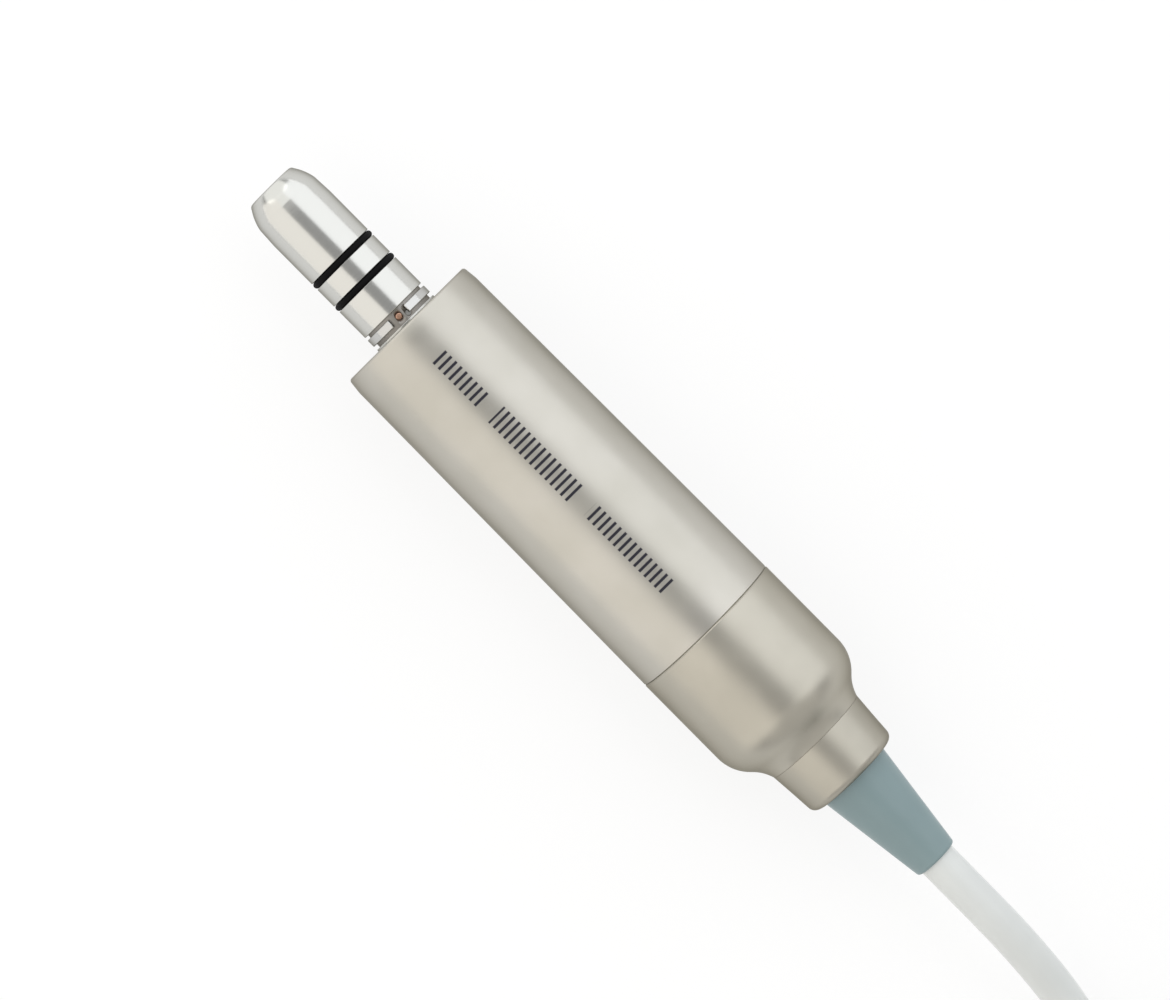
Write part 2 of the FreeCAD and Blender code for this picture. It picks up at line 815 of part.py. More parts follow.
def bearing(end, station):
    """A ball bearing: two grooved races, the balls between them and the cage that spaces them."""
    pitch = size("ball_pitch_dia") / 2
    ball = size("ball_dia") / 2
    groove = ball + size("race_clearance")
    half_gap = size("race_gap") / 2
    middle = bearing_width / 2
    mouth = other_side(groove, half_gap)
    keep(turned(f"{end}_bearing_outer", station, [
        (ZERO, pitch + half_gap),
        Corner(middle - mouth, pitch + half_gap, bend_right=groove),
        (middle + mouth, pitch + half_gap),
        (bearing_width, pitch + half_gap),
        (bearing_width, bearing_radius),
        (ZERO, bearing_radius),
    ]))
    keep(turned(f"{end}_bearing_inner", station, [
        (ZERO, bearing_bore),
        (bearing_width, bearing_bore),
        (bearing_width, pitch - half_gap),
        Corner(middle + mouth, pitch - half_gap, bend_right=groove),
        (middle - mouth, pitch - half_gap),
        (ZERO, pitch - half_gap),
    ]))

    cage_start = middle - size("cage_width") / 2
    cage_half = size("cage_wall") / 2
    cage_end = middle + size("cage_width") / 2
    cage = turned(
        f"{end}_bearing_cage", station, rectangle(cage_start, cage_end, pitch - cage_half, pitch + cage_half)
    )
    pocket = drill(cage, "Pocket", middle, ZERO, ball + SLIDE, ZERO)
    around(cage, pocket, size("ball_count"))
    keep(cage)

    balls = []
    for number in range(SIZES["ball_count"]):
        up, across = on_circle(pitch, number, size("ball_count"))
        one = doc.addObject("Part::Sphere", f"{end}_ball_{number + 1}")
        bind(one, "Radius", ball)
        place(one, station - middle, across, up)
        balls.append(one)
    keep(group(f"{end}_bearing_balls", balls))


def rotor_shaft():
    """The stepped shaft: drive end with two flats, bearing journals, magnet core and sensor seat."""
    drive = size("drive_shaft_dia") / 2
    core = size("rotor_core_dia") / 2
    flat = size("drive_flat_span") / 2
    tail = size("sensor_seat_dia") / 2

    def back(place):
        return shaft_tip - place

    piece = turned("rotor_shaft", shaft_tip, [
        (ZERO, ZERO),
        (back(shaft_end), ZERO),
        (back(shaft_end), tail),
        (back(shaft_rear_shoulder), tail),
        (back(shaft_rear_shoulder), journal),
        (back(rear_bearing), journal),
        (back(rear_bearing), core - FIT),
        (back(magnet_front), core - FIT),
        (back(magnet_front), size("front_shoulder_dia") / 2),
        (back(front_bearing - bearing_width), size("front_shoulder_dia") / 2),
        (back(front_bearing - bearing_width), journal),
        (back(spring_shoulder), journal),
        (back(spring_shoulder), drive),
        (ZERO, drive),
    ])
    mill_through(piece, "Flats", [
        rectangle(-SPIN, size("drive_flat_length"), flat, drive + SPIN),
        rectangle(-SPIN, size("drive_flat_length"), -drive - SPIN, -flat),
    ])
    return piece


def drive_dog():
    """The sprung dog that the handpiece's tongue drops into: it slides on the shaft's flats."""
    length = size("dog_length")
    bore = size("drive_shaft_dia") / 2 + SLIDE
    flat = size("drive_flat_span") / 2 + SLIDE
    chord = other_side(bore, flat)
    deep = size("dog_counterbore_depth")
    wide = size("dog_counterbore_dia") / 2
    outer = size("dog_dia") / 2
    half_slot = size("dog_slot_width") / 2
    piece = turned("drive_dog", dog_front, [
        (ZERO, wide),
        (deep, wide),
        (deep, ZERO),
        (length, ZERO),
        (length, outer),
        (ZERO, outer, size("dog_nose_rounding")),
    ])
    broach(piece, "Bore", length, [
        Corner(chord, -flat, bend_left=bore),
        (chord, flat),
        Corner(-chord, flat, bend_left=bore),
        (-chord, -flat),
    ])
    mill_through(piece, "Slot", [rectangle(-SPIN, size("dog_slot_depth"), -half_slot, half_slot)])
    return piece


def drive_spring():
    """The square-wire spring behind the dog, between it and the shaft's shoulder."""
    wire = size("spring_wire")
    inner = size("spring_inner_dia") / 2
    body = new_body("drive_spring", dog_rear)
    sketch = new_sketch(body, "XZ_Plane", "Outline")
    draw_outline(sketch, rectangle(ZERO, wire, inner, inner + wire))
    coil = body.newObject("PartDesign::AdditiveHelix", "DriveSpringCoil")
    coil.Profile = sketch
    coil.ReferenceAxis = (sketch, ["H_Axis"])
    coil.Mode = 0
    coil.Angle = 0
    coil.Growth = 0
    bind(coil, "Pitch", size("spring_pitch"))
    bind(coil, "Height", dog_rear - spring_shoulder - wire)
    return body


def rotor():
    """The magnet in its sleeve between two balance rings, and the sensor magnet on the tail."""
    core = size("rotor_core_dia") / 2
    magnet = size("magnet_dia") / 2
    ring_length = size("balance_ring_length")
    balance = size("balance_ring_dia") / 2
    front = magnet_front - ring_length
    rear = magnet_rear
    sleeve = magnet + FIT
    tail = size("sensor_seat_dia") / 2 + FIT
    keep(ring("rotor_magnet", front, front - rear, core, magnet))
    keep(ring("magnet_sleeve", front, front - rear, sleeve, sleeve + size("rotor_sleeve_wall")))
    keep(ring("front_balance_ring", magnet_front, ring_length, core, balance))
    keep(ring("rear_balance_ring", rear, ring_length, core, balance))
    keep(ring("sensor_magnet", shaft_rear_shoulder, size("sensor_magnet_length"), tail,
              size("sensor_magnet_dia") / 2))
    clip = ring("dog_clip", clip_front, size("clip_thick"), size("drive_shaft_dia") / 2 + FIT,
                size("clip_dia") / 2)
    keep(clip)


def stator():
    """The stack that the housings clamp: insulators, laminations and the winding inside them."""
    winding = size("winding_outer_dia") / 2
    bore = winding + FIT
    overhang = size("winding_overhang")
    keep(ring("front_insulator", insulator_front, size("front_insulator_length"), bore, liner))
    keep(ring("stator_laminations", laminations_front, laminations_length, bore, liner))
    keep(ring("rear_insulator", laminations_rear, size("rear_insulator_length"), bore, liner))
    keep(ring("stator_winding", laminations_front + overhang, laminations_length + overhang * 2,
              size("winding_inner_dia") / 2, winding))


def rear_end():
    """What the rear bell carries behind its bearing, and the speed sensor in front of the cord."""
    seat = bearing_radius
    spring_width = size("preload_spring_width")
    keep(ring("preload_spring", rear_bearing + size("preload_spring_height"),
              size("preload_spring_height"), seat - spring_width, seat))
    keep(ring("retaining_ring", rear_bearing - bearing_width, size("retaining_ring_thick"),
              size("retaining_ring_inner_dia") / 2, seat))
    keep(ring("sensor_board", board_front, size("board_thick"), size("board_hole_dia") / 2,
              liner - size("joint_sleeve_wall") - FIT))

    sensors = []
    for number in range(SIZES["sensor_count"]):
        across, up = on_circle(size("sensor_circle_dia") / 2, number, size("sensor_count"))
        block = doc.addObject("Part::Box", f"Sensor{number + 1}")
        bind(block, "Length", size("sensor_thick"))
        bind(block, "Width", size("sensor_size"))
        bind(block, "Height", size("sensor_size"))
        place(block, board_front, across - size("sensor_size") / 2, up - size("sensor_size") / 2)
        sensors.append(block)
    keep(group("hall_sensors", sensors))

    wires = []
    for number in range(SIZES["wire_count"]):
        across, up = on_circle(size("wire_circle_dia") / 2, number, size("wire_count"))
        wire = doc.addObject("Part::Cylinder", f"Wire{number + 1}")
        bind(wire, "Radius", size("wire_dia") / 2)
        bind(wire, "Height", board_rear - clamp_front)
        wire.Placement = FreeCAD.Placement(FreeCAD.Vector(), ALONG_X)
        place(wire, clamp_front, across, up)
        wires.append(wire)
    keep(group("lead_wires", wires))

    clamp = size("clamp_length")
    stub_bore = size("stub_dia") / 2 - size("stub_wall")
    keep(ring("cable_clamp", clamp_front, clamp, cord_radius + FIT, stub_bore - FIT))
    keep(ring("inlet_cable", clamp_front, clamp_front - relief_tip, ZERO, cord_radius))


def nose_rings():
    """The two rubber rings on the nose, and the one that seals the barrel to the rear housing."""
    section = size("o_ring_section")
    centre = spigot_radius + size("o_ring_proud") - section / 2
    rear = size("rear_o_ring_station")
    keep(o_ring("front_o_ring", rear + size("o_ring_pitch"), centre, section))
    keep(o_ring("rear_o_ring", rear, centre, section))
    section = size("barrel_seal_section")
    station = seam + size("barrel_seal_setback") + (section + SPIN) / 2
    keep(o_ring("barrel_seal", station, barrel_bore - section / 2 - FIT / 2, section - FIT))


def cord_path(points):
    """Straight runs joined by tangent arcs, each as large as its two runs allow, and their radii."""
    points = [FreeCAD.Vector(*point) for point in points]
    edges, radii = [], []
    here = points[0]
    for before, corner, after in zip(points, points[1:], points[2:]):
        back = (before - corner).normalize()
        ahead = (after - corner).normalize()
        half_turn = (math.pi - math.acos(back.dot(ahead))) / 2
        cut = ARC_SHARE * min(before.distanceToPoint(corner), corner.distanceToPoint(after))
        radius = cut / math.tan(half_turn)
        start, end = corner + back * cut, corner + ahead * cut
        inward = (back + ahead).normalize() * (radius / math.cos(half_turn) - radius)
        edges.append(Part.LineSegment(here, start).toShape())
        edges.append(Part.Arc(start, corner + inward, end).toShape())
        radii.append(radius)
        here = end
    edges.append(Part.LineSegment(here, points[-1]).toShape())
    return Part.Wire(edges), radii


def cord_tube(label, points):
    """One free stretch of the cord, as a plain round tube along its path."""
    path, radii = cord_path(points)
    first = FreeCAD.Vector(*points[0])
    heading = (FreeCAD.Vector(*points[1]) - first).normalize()
    section = Part.Wire(Part.makeCircle(cord_radius.value, first, heading))
    tube = doc.addObject("Part::Feature", label)
    tube.Label = label
    tube.Shape = path.makePipeShell([section], True, True)
    tube.Placement = FreeCAD.Placement()
    expected = math.pi * cord_radius.value**2 * path.Length
    print(f"{label}: {path.Length:.1f} long, volume {tube.Shape.Volume / expected:.4f} of its section's,",
          "radii", ", ".join(f"{radius:.0f}" for radius in radii))
    return keep(tube)


def cord_hank():
    """The wound cord's outer shape: long turns with round ends, tied at a narrow waist."""
    cord = size("cord_dia")
    half = size("hank_straight") / 2
    fold = size("hank_fold_radius")
    wide = size("hank_turns_wide")
    waist_end = size("hank_waist_length") / 2
    outer = fold + cord * (wide - 0.5)
    outer_waist = cord * wide
    inner = fold - cord / 2
    last = fold + cord / 2
    lower = cord * size("hank_layers")
    body = doc.addObject("PartDesign::Body", "cord_hank")
    body.Label = "cord_hank"
    body.Placement = FreeCAD.Placement(FreeCAD.Vector(*HANK_CENTRE, 0), FreeCAD.Rotation())
    bind(body, "Placement.Base.z", -rear_radius)

    turns = new_sketch(body, "XY_Plane", "Turns")
    draw_outline(turns, [
        Corner(half, -outer, bend_left=outer),
        Corner(half + outer, ZERO, bend_left=outer),
        (half, outer),
        (waist_end, outer_waist),
        (-waist_end, outer_waist),
        Corner(-half, outer, bend_left=outer),
        Corner(-half - outer, ZERO, bend_left=outer),
        (-half, -outer),
        (-waist_end, -outer_waist),
        (waist_end, -outer_waist),
    ])
    pad = body.newObject("PartDesign::Pad", "CordHankTurns")
    pad.Profile = turns
    bind(pad, "Length", lower)

    top = new_sketch(body, "XY_Plane", "TopTurn")
    bind(top, "AttachmentOffset.Base.z", lower)
    draw_outline(top, [
        (half, inner),
        (half, last),
        (waist_end, cord),
        (-waist_end, cord),
        Corner(-half, last, bend_left=last),
        Corner(-half - last, ZERO, bend_left=last),
        (-half, -last),
        Corner(-half, -inner, bend_right=inner),
        Corner(-half - inner, ZERO, bend_right=inner),
        (-half, inner),
        (-waist_end, ZERO),
        (waist_end, ZERO),
    ])
    pad = body.newObject("PartDesign::Pad", "CordHankTopTurn")
    pad.Profile = top
    bind(pad, "Length", cord)
    return keep(body)


def plug():
    """The round plug at the cord's far end, from its bend relief to its keyed nose."""
    start = FreeCAD.Vector(*TAIL_ROUTE[-1])
    relief = size("plug_relief_length")
    grip = size("plug_grip_length")
    body_length = size("plug_body_length")
    nose_length = size("plug_nose_length")
    outer = size("plug_dia") / 2
    nose = size("plug_nose_dia") / 2
    bore = nose - size("plug_nose_wall")
    face = nose_length - size("plug_insert_setback")
    grip_radius = size("plug_grip_dia") / 2

    def lay(piece, along):
        """Puts a piece of the plug on the cord's last point, further along its axis."""
        bind(piece, "Placement.Base.x", along + start.x)
        bind(piece, "Placement.Base.y", as_length(start.y))
        bind(piece, "Placement.Base.z", as_length(start.z))
        return keep(piece)

    lay(turned("plug_relief", ZERO, [
        (ZERO, ZERO),
        (relief, ZERO),
        (relief, size("plug_relief_root_dia") / 2),
        (ZERO, cord_radius + size("plug_relief_tip_wall"), size("plug_relief_rounding")),
    ], toward_rear=False), ZERO)

    shell = turned("plug_shell", ZERO, [
        (ZERO, ZERO),
        (body_length, ZERO),
        (body_length, bore),
        (body_length + nose_length, bore),
        (body_length + nose_length, nose),
        (body_length, nose),
        (body_length, outer, size("plug_rounding")),
        (ZERO, outer, size("plug_rounding")),
    ], toward_rear=False)
    key_half = size("plug_keyway_width") / 2
    keyway = new_sketch(shell, "XY_Plane", "Keyway")
    bind(keyway, "AttachmentOffset.Base.z", nose - size("plug_keyway_depth"))
    draw_outline(keyway, rectangle(body_length + size("plug_nose_wall"),
                                   body_length + nose_length + SPIN, -key_half, key_half))
    groove = shell.newObject("PartDesign::Pocket", "PlugShellKeywayCut")
    groove.Profile = keyway
    groove.Type = 1
    groove.Reversed = True
    lay(shell, relief + grip)

    handle = turned("plug_grip", ZERO, [
        (ZERO, ZERO),
        (grip, ZERO),
        (grip, grip_radius),
        (ZERO, grip_radius, size("plug_rounding")),
    ], toward_rear=False)
    groove = drill_flute(handle, grip, grip_radius)
    around(handle, groove, size("plug_grip_flutes"))
    lay(handle, relief)

    lay(turned("plug_insert", ZERO, [
        (ZERO, ZERO),
        (face, ZERO),
        (face, bore - FIT),
        (ZERO, bore - FIT),
    ], toward_rear=False), relief + grip + body_length)

    contacts = []
    for number in range(SIZES["plug_contact_count"]):
        circle = size("plug_contact_circle_dia") / 2
        across, up = on_circle(circle, number, size("plug_contact_count"))
        contact = doc.addObject("Part::Cylinder", f"Contact{number + 1}")
        bind(contact, "Radius", size("plug_contact_dia") / 2)
        bind(contact, "Height", size("plug_contact_proud"))
        contact.Placement = FreeCAD.Placement(FreeCAD.Vector(), ALONG_X)
        place(contact, relief + grip + body_length + face + start.x, across + start.y, up + start.z)
        contacts.append(contact)
    keep(group("plug_contacts", contacts))


def write_parts():
    """Every object has to be sound, and every piece a valid solid, before any file is written."""
    doc.recompute()
    for item in doc.Objects:
        if "Invalid" in item.State or "Error" in item.State:
            raise RuntimeError(f"{item.Name} ({item.Label}) did not build: {item.State}")
    for part in PARTS:
        if part.Shape.isNull() or not part.Shape.isValid() or not part.Shape.Solids:
            raise RuntimeError(f"{part.Label} is not a valid solid")
    os.makedirs("parts", exist_ok=True)
    for part in PARTS:
        part.Shape.exportStep(f"parts/{part.Label}.step")
    print(len(PARTS), "parts")


keep(barrel())
keep(nose())
nose_rings()
keep(snap_ring())
keep(index_pin())
keep(shaft_seal())
keep(front_bell())
bearing("front", front_bearing)
stator()
keep(rear_bell())
bearing("rear", rear_bearing)
rear_end()
keep(rotor_shaft())
rotor()
keep(drive_dog())
keep(drive_spring())
keep(rear_housing())
keep(cord_collar())
keep(bend_relief())
cord_tube("cord_lead", [(relief_tip.value, 0.0, 0.0)] + LEAD_ROUTE)
cord_hank()
cord_tube("cord_tail", TAIL_ROUTE)
plug()
write_parts()
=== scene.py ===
# %% [markdown]
# # Surgical micromotor
# A slim motor for surgical handpieces, lying on a white table. Its ringed nose points along +X, the cord
# leaves toward -X, and +Z is up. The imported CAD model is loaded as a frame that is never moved. New pieces
# are modelled over it, take the place of its plain nodes, and carry the finishes of the real object.

# %% The frame
import math

import bmesh
import bpy
from mathutils import Matrix, Vector


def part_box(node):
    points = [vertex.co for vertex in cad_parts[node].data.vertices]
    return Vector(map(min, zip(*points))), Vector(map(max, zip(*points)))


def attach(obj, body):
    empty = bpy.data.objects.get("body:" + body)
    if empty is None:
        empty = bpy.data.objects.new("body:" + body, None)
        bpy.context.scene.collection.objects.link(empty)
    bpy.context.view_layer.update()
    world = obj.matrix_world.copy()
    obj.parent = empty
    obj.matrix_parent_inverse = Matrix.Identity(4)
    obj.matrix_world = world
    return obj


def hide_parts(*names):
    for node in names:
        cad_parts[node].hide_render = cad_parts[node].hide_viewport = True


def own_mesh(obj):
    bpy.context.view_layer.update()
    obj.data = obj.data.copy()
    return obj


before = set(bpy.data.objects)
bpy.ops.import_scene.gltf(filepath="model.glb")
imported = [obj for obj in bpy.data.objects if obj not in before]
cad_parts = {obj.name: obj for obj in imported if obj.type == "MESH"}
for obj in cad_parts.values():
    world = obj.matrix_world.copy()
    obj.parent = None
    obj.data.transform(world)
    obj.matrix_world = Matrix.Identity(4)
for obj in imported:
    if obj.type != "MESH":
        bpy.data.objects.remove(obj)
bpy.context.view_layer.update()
MM = 0.001

# %% [markdown]
# ## The camera
# A long lens looks almost straight down from 83 cm. The nose points to the upper left of the picture, so
# the camera's own up is half way between +X and -Y. A camera's matrix is easiest to write from its three
# axes: right, up, and the one that points back at the photographer.

# %% Camera
CAMERA_PLACE = Vector((0.0, 0.0, 0.83))
CAMERA_AIM = Vector((-0.0348, -0.0004, 0.0))
FRAME_WIDTH = 162.5 * MM
SENSOR_WIDTH = 36.0
PICTURE_UP = Vector((1.01, -1.0, 0.0))

back = (CAMERA_PLACE - CAMERA_AIM).normalized()
right = PICTURE_UP.cross(back).normalized()
up = back.cross(right)
camera_data = bpy.data.cameras.new("camera")
camera_data.sensor_width = SENSOR_WIDTH
camera_data.lens = SENSOR_WIDTH * (CAMERA_PLACE - CAMERA_AIM).length / FRAME_WIDTH
camera_data.clip_start = 0.01
camera_data.clip_end = 20.0
camera = bpy.data.objects.new("camera", camera_data)
bpy.context.scene.collection.objects.link(camera)
axes = Matrix((right, up, back)).transposed()
camera.matrix_world = Matrix.Translation(CAMERA_PLACE) @ axes.to_4x4()
bpy.context.scene.camera = camera
print("lens", round(camera_data.lens, 1), "mm")

# %% [markdown]
# ## The cord's line
# The cord is 1.8 m of silicone hose. Only its first stretch could be in the picture, so the rest is put
# away behind the motor: folded into a hank with round ends and a narrow waist, where a strap holds it, and
# the plug lies on top. One NURBS spline carries the whole cord. Its curve cuts inside its control points,
# so those of a fold stand a little outside the fold.

# %% Measures of the cord
CORD_DIAMETER = 5.6 * MM
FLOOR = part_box("rear_housing")[0][2]
EXIT = (-104.84 * MM, 0.0, 0.0)
LEAD_POINTS = [
    (-113.5, 0.0, 0.0),
    (-122.0, 0.1, -1.8),
    (-133.0, 1.0, -6.4),
    (-145.0, 4.0, -9.0),
    (-158.0, 8.2, -9.0),
    (-170.0, 10.0, -9.0),
]
TAIL_POINTS = [
    (-232.7, -29.2, 7.9),
    (-225.7, -28.0, 8.4),
    (-219.0, -25.7, 9.6),
    (-212.8, -22.3, 11.6),
    (-206.1, -19.9, 12.4),
    (-199.1, -18.8, 11.6),
    (-195.5, -18.7, 11.3),
    (-192.0, -18.7, 11.3),
]
HANK_CENTRE = Vector((-206.0, -12.4, 0.0)) * MM
FOLD_CENTRE = 33.8 * MM
FOLD_POINTS = 8
FOLD_STEP = math.radians(30)
WAIST_HALF = 6.5 * MM
WAIST_LIFT = 0.9 * MM
INNER_FOLD = 3 * CORD_DIAMETER


def slot_place(number):
    """Fold radius, distance from the middle at the waist and height of a turn, by its place in the hank."""
    column = (0, 1, 1, 0, 0, 1, 1)[number]
    layer = (0, 0, 1, 1, 2, 2, 3)[number]
    radius = INNER_FOLD + (1 - column) * CORD_DIAMETER
    waist = CORD_DIAMETER * (1.5 - column)
    return Vector((radius, waist, FLOOR + CORD_DIAMETER * (0.5 + layer)))


def fold(side, places):
    """One round end. side is 1 at the motor's end and -1 at the far one; places has each point's slot."""
    points = []
    first = -105 if side > 0 else 75
    for step, place in enumerate(places):
        angle = math.radians(first) + step * FOLD_STEP
        reach = place[0] / math.cos(FOLD_STEP / 2)
        points.append((side * FOLD_CENTRE + reach * math.cos(angle), reach * math.sin(angle), place[2]))
    return points


def waist(side, place):
    """The two points where a run passes the strap. side is 1 on the run that leads away from the motor."""
    height = place[2] + WAIST_LIFT
    return [(side * WAIST_HALF, side * place[1], height), (-side * WAIST_HALF, side * place[1], height)]


# %% The turns of the hank
TURNS = 6
MOVE_STARTS = 0.35
hank_points = []
for turn in range(TURNS):
    here, following = slot_place(turn), slot_place(turn + 1)
    share = [min(max((step / (FOLD_POINTS - 1) - MOVE_STARTS) / (1 - MOVE_STARTS), 0), 1)
             for step in range(FOLD_POINTS)]
    moving = [here.lerp(following, part * part * (3 - 2 * part)) for part in share]
    hank_points += waist(1, here) + fold(-1, [here] * FOLD_POINTS) + waist(-1, here) + fold(1, moving)
top = slot_place(TURNS)
hank_points += waist(1, top) + fold(-1, [top] * (FOLD_POINTS - 1))
hank_points = [HANK_CENTRE + Vector(point) for point in hank_points]
route = [Vector(EXIT)] + [Vector(point) * MM for point in LEAD_POINTS]
route += hank_points + [Vector(point) * MM for point in TAIL_POINTS]
print(len(route), "control points on the cord")

# %% The cord
cord_curve = bpy.data.curves.new("cord", "CURVE")
cord_curve.dimensions = "3D"
spline = cord_curve.splines.new("NURBS")
spline.points.add(len(route) - 1)
for point, place in zip(spline.points, route):
    point.co = (*place, 1.0)
    point.radius = CORD_DIAMETER / 2
spline.order_u = 3
spline.use_endpoint_u = True
spline.resolution_u = 6
cord_curve.bevel_depth = 1.0
cord_curve.bevel_resolution = 5
cord_curve.use_fill_caps = True
cord = bpy.data.objects.new("cord", cord_curve)
bpy.context.scene.collection.objects.link(cord)
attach(cord, "motor")
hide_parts("cord_lead", "cord_hank", "cord_tail")

# %% [markdown]
# ## A lathe
# Almost every piece of the motor was turned, so they all start the same way: a ring of points is added at
# the first corner of the profile, then pulled from corner to corner with extrude and resize. Corners that
# are broken or rounded on the real piece are bevelled afterwards, and a closed profile is welded to its own
# start. Weighted normals keep the long faces straight in the light beside their small bevels.

# %% Lathe
ROUND = 128
WELD = 0.002 * MM


def only(piece):
    """Selects one object alone, ready for an operator."""
    bpy.ops.object.select_all(action="DESELECT")
    piece.select_set(True)
    bpy.context.view_layer.objects.active = piece


def ring_corner(vertex, corner):
    """Whether a point lies on the ring that a corner of the profile makes."""
    x, radius = corner[:2]
    near_ring = abs(math.hypot(vertex.co.y, vertex.co.z) - radius * MM) < WELD
    return near_ring and abs(vertex.co.x - x * MM) < WELD


def settle(piece):
    """Points the faces outward and smooths them by angle."""
    only(piece)
    bpy.ops.object.mode_set(mode="EDIT")
    bpy.ops.mesh.select_all(action="SELECT")
    bpy.ops.mesh.remove_doubles(threshold=WELD / 2)
    bpy.ops.mesh.normals_make_consistent(inside=False)
    bpy.ops.object.mode_set(mode="OBJECT")
    bpy.ops.object.shade_smooth_by_angle(angle=math.radians(32))
    weighted = piece.modifiers.new("weighted", "WEIGHTED_NORMAL")
    weighted.keep_sharp = True
    bpy.ops.object.modifier_apply(modifier=weighted.name)


def lathe(name, corners, count=ROUND, steps=4, shift=(0.0, 0.0)):
    """A turned piece. A corner is its place along X and its radius in mm, and its rounding if it has one."""
    first_x, first_radius = corners[0][:2]
    bpy.ops.object.select_all(action="DESELECT")
    bpy.ops.mesh.primitive_circle_add(vertices=count, radius=first_radius * MM,
                                      location=(first_x * MM, 0, 0), rotation=(0, math.pi / 2, 0))
    piece = bpy.context.object
    piece.name = name
    bpy.ops.object.transform_apply(location=True, rotation=True, scale=True)
    bpy.ops.object.mode_set(mode="EDIT")
    bpy.ops.mesh.select_all(action="SELECT")
    x, radius = first_x, first_radius
    for corner in corners[1:] + corners[:1]:
        bpy.ops.mesh.extrude_edges_move(TRANSFORM_OT_translate={"value": ((corner[0] - x) * MM, 0, 0)})
        factor = corner[1] / radius
        bpy.ops.transform.resize(value=(1, factor, factor), center_override=(corner[0] * MM, 0, 0))
        x, radius = corner[:2]
    bpy.ops.mesh.select_all(action="SELECT")
    bpy.ops.mesh.remove_doubles(threshold=WELD)
    bpy.ops.mesh.normals_make_consistent(inside=False)
    for width in sorted({corner[2] for corner in corners if len(corner) > 2}, reverse=True):
        rounded = [corner for corner in corners if len(corner) > 2 and corner[2] == width]
        bpy.ops.mesh.select_all(action="DESELECT")
        mesh = bmesh.from_edit_mesh(piece.data)
        for edge in mesh.edges:
            if any(all(ring_corner(end, corner) for end in edge.verts) for corner in rounded):
                edge.select = True
        bmesh.update_edit_mesh(piece.data)
        bpy.ops.mesh.bevel(offset=width * MM, segments=steps, profile=0.5, affect="EDGES")
    bpy.ops.object.mode_set(mode="OBJECT")
    if any(shift):
        piece.location = (0, shift[0] * MM, shift[1] * MM)
        bpy.ops.object.transform_apply(location=True, rotation=True, scale=True)
    settle(piece)
    print(name, len(piece.data.polygons), "faces")
    return piece


def finish_piece(piece, body, node_slot, *nodes):
    """Lets a piece ride on its body in place of CAD nodes."""
    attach(piece, body)
    if nodes:
        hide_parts(*nodes)
    return piece


# %% [markdown]
# ## The barrel
# The grip of the motor is a titanium tube, thinner at the front by less than a millimetre. Its front edge
# is broken and then eased by a flat band, which catches the light as a bright line. Its rear edge has a
# shallow chamfer that makes half of the seam to the rear housing.

# %% Barrel
FRONT_RADIUS = 11.375
REAR_RADIUS = 11.75
BAND_RADIUS = 11.8
BAND_LENGTH = 2.2
FRONT_BREAK = 0.25
FRONT_ROUNDING = 0.4
SEAM = -59.0
SEAM_BEVEL = 0.17
SEAM_DEPTH = 0.13
SPIGOT_RADIUS = 5.45
BARREL_BORE = 10.0
FRONT_WALL = 2.4
FIT = 0.02
barrel = lathe("barrel_shell", [
    (0, SPIGOT_RADIUS + FIT),
    (0, FRONT_RADIUS - FRONT_BREAK, FRONT_ROUNDING),
    (-BAND_LENGTH, FRONT_RADIUS),
    (SEAM + SEAM_BEVEL, REAR_RADIUS),
    (SEAM, REAR_RADIUS - SEAM_DEPTH),
    (SEAM, BARREL_BORE),
    (-FRONT_WALL, BARREL_BORE),
    (-FRONT_WALL, SPIGOT_RADIUS + FIT),
])
finish_piece(barrel, "motor", "titanium", "barrel")

# %% [markdown]
# ## The nose
# The handpiece slides over this spigot. It is one piece of polished steel: a lead-in cone, a plain bearing
# stretch, two grooves for rubber rings, and a lock groove against the barrel. Its bore opens at the tip as a
# wider socket for the handpiece's drive, and a flange behind it sits in the barrel. All of it is one closed
# profile on the lathe.

# %% Nose
TIP = 26.7
TIP_RADIUS = 3.87
TIP_ROUNDING = 0.3
LEAD_IN = 24.8
LEAD_IN_RADIUS = 5.02
LEAD_IN_ROUNDING = 1.1
EASING = 23.4
EASING_RADIUS = 5.3
PLAIN_END = 20.5
RING_GROOVES = (12.55, 8.2)
GROOVE_HALF = 0.54
GROOVE_RADIUS = 4.4
EDGE = 0.06
LOCK_NEAR = 0.28
LOCK_FAR = 2.6
LOCK_FLOOR = 4.88
LOCK_EDGE = 0.1
SOCKET_RADIUS = 3.3
SOCKET_FLOOR = 17.1
SOCKET_EDGE = 0.15
SHAFT_BORE = 3.0
SEAL_SEAT = -2.6
SEAL_RADIUS = 5.0
FLANGE_REAR = -5.6
FLANGE_RADIUS = 9.98
grooves = []
for place in RING_GROOVES:
    grooves += [
        (place + GROOVE_HALF, SPIGOT_RADIUS, EDGE),
        (place + GROOVE_HALF, GROOVE_RADIUS),
        (place - GROOVE_HALF, GROOVE_RADIUS),
        (place - GROOVE_HALF, SPIGOT_RADIUS, EDGE),
    ]
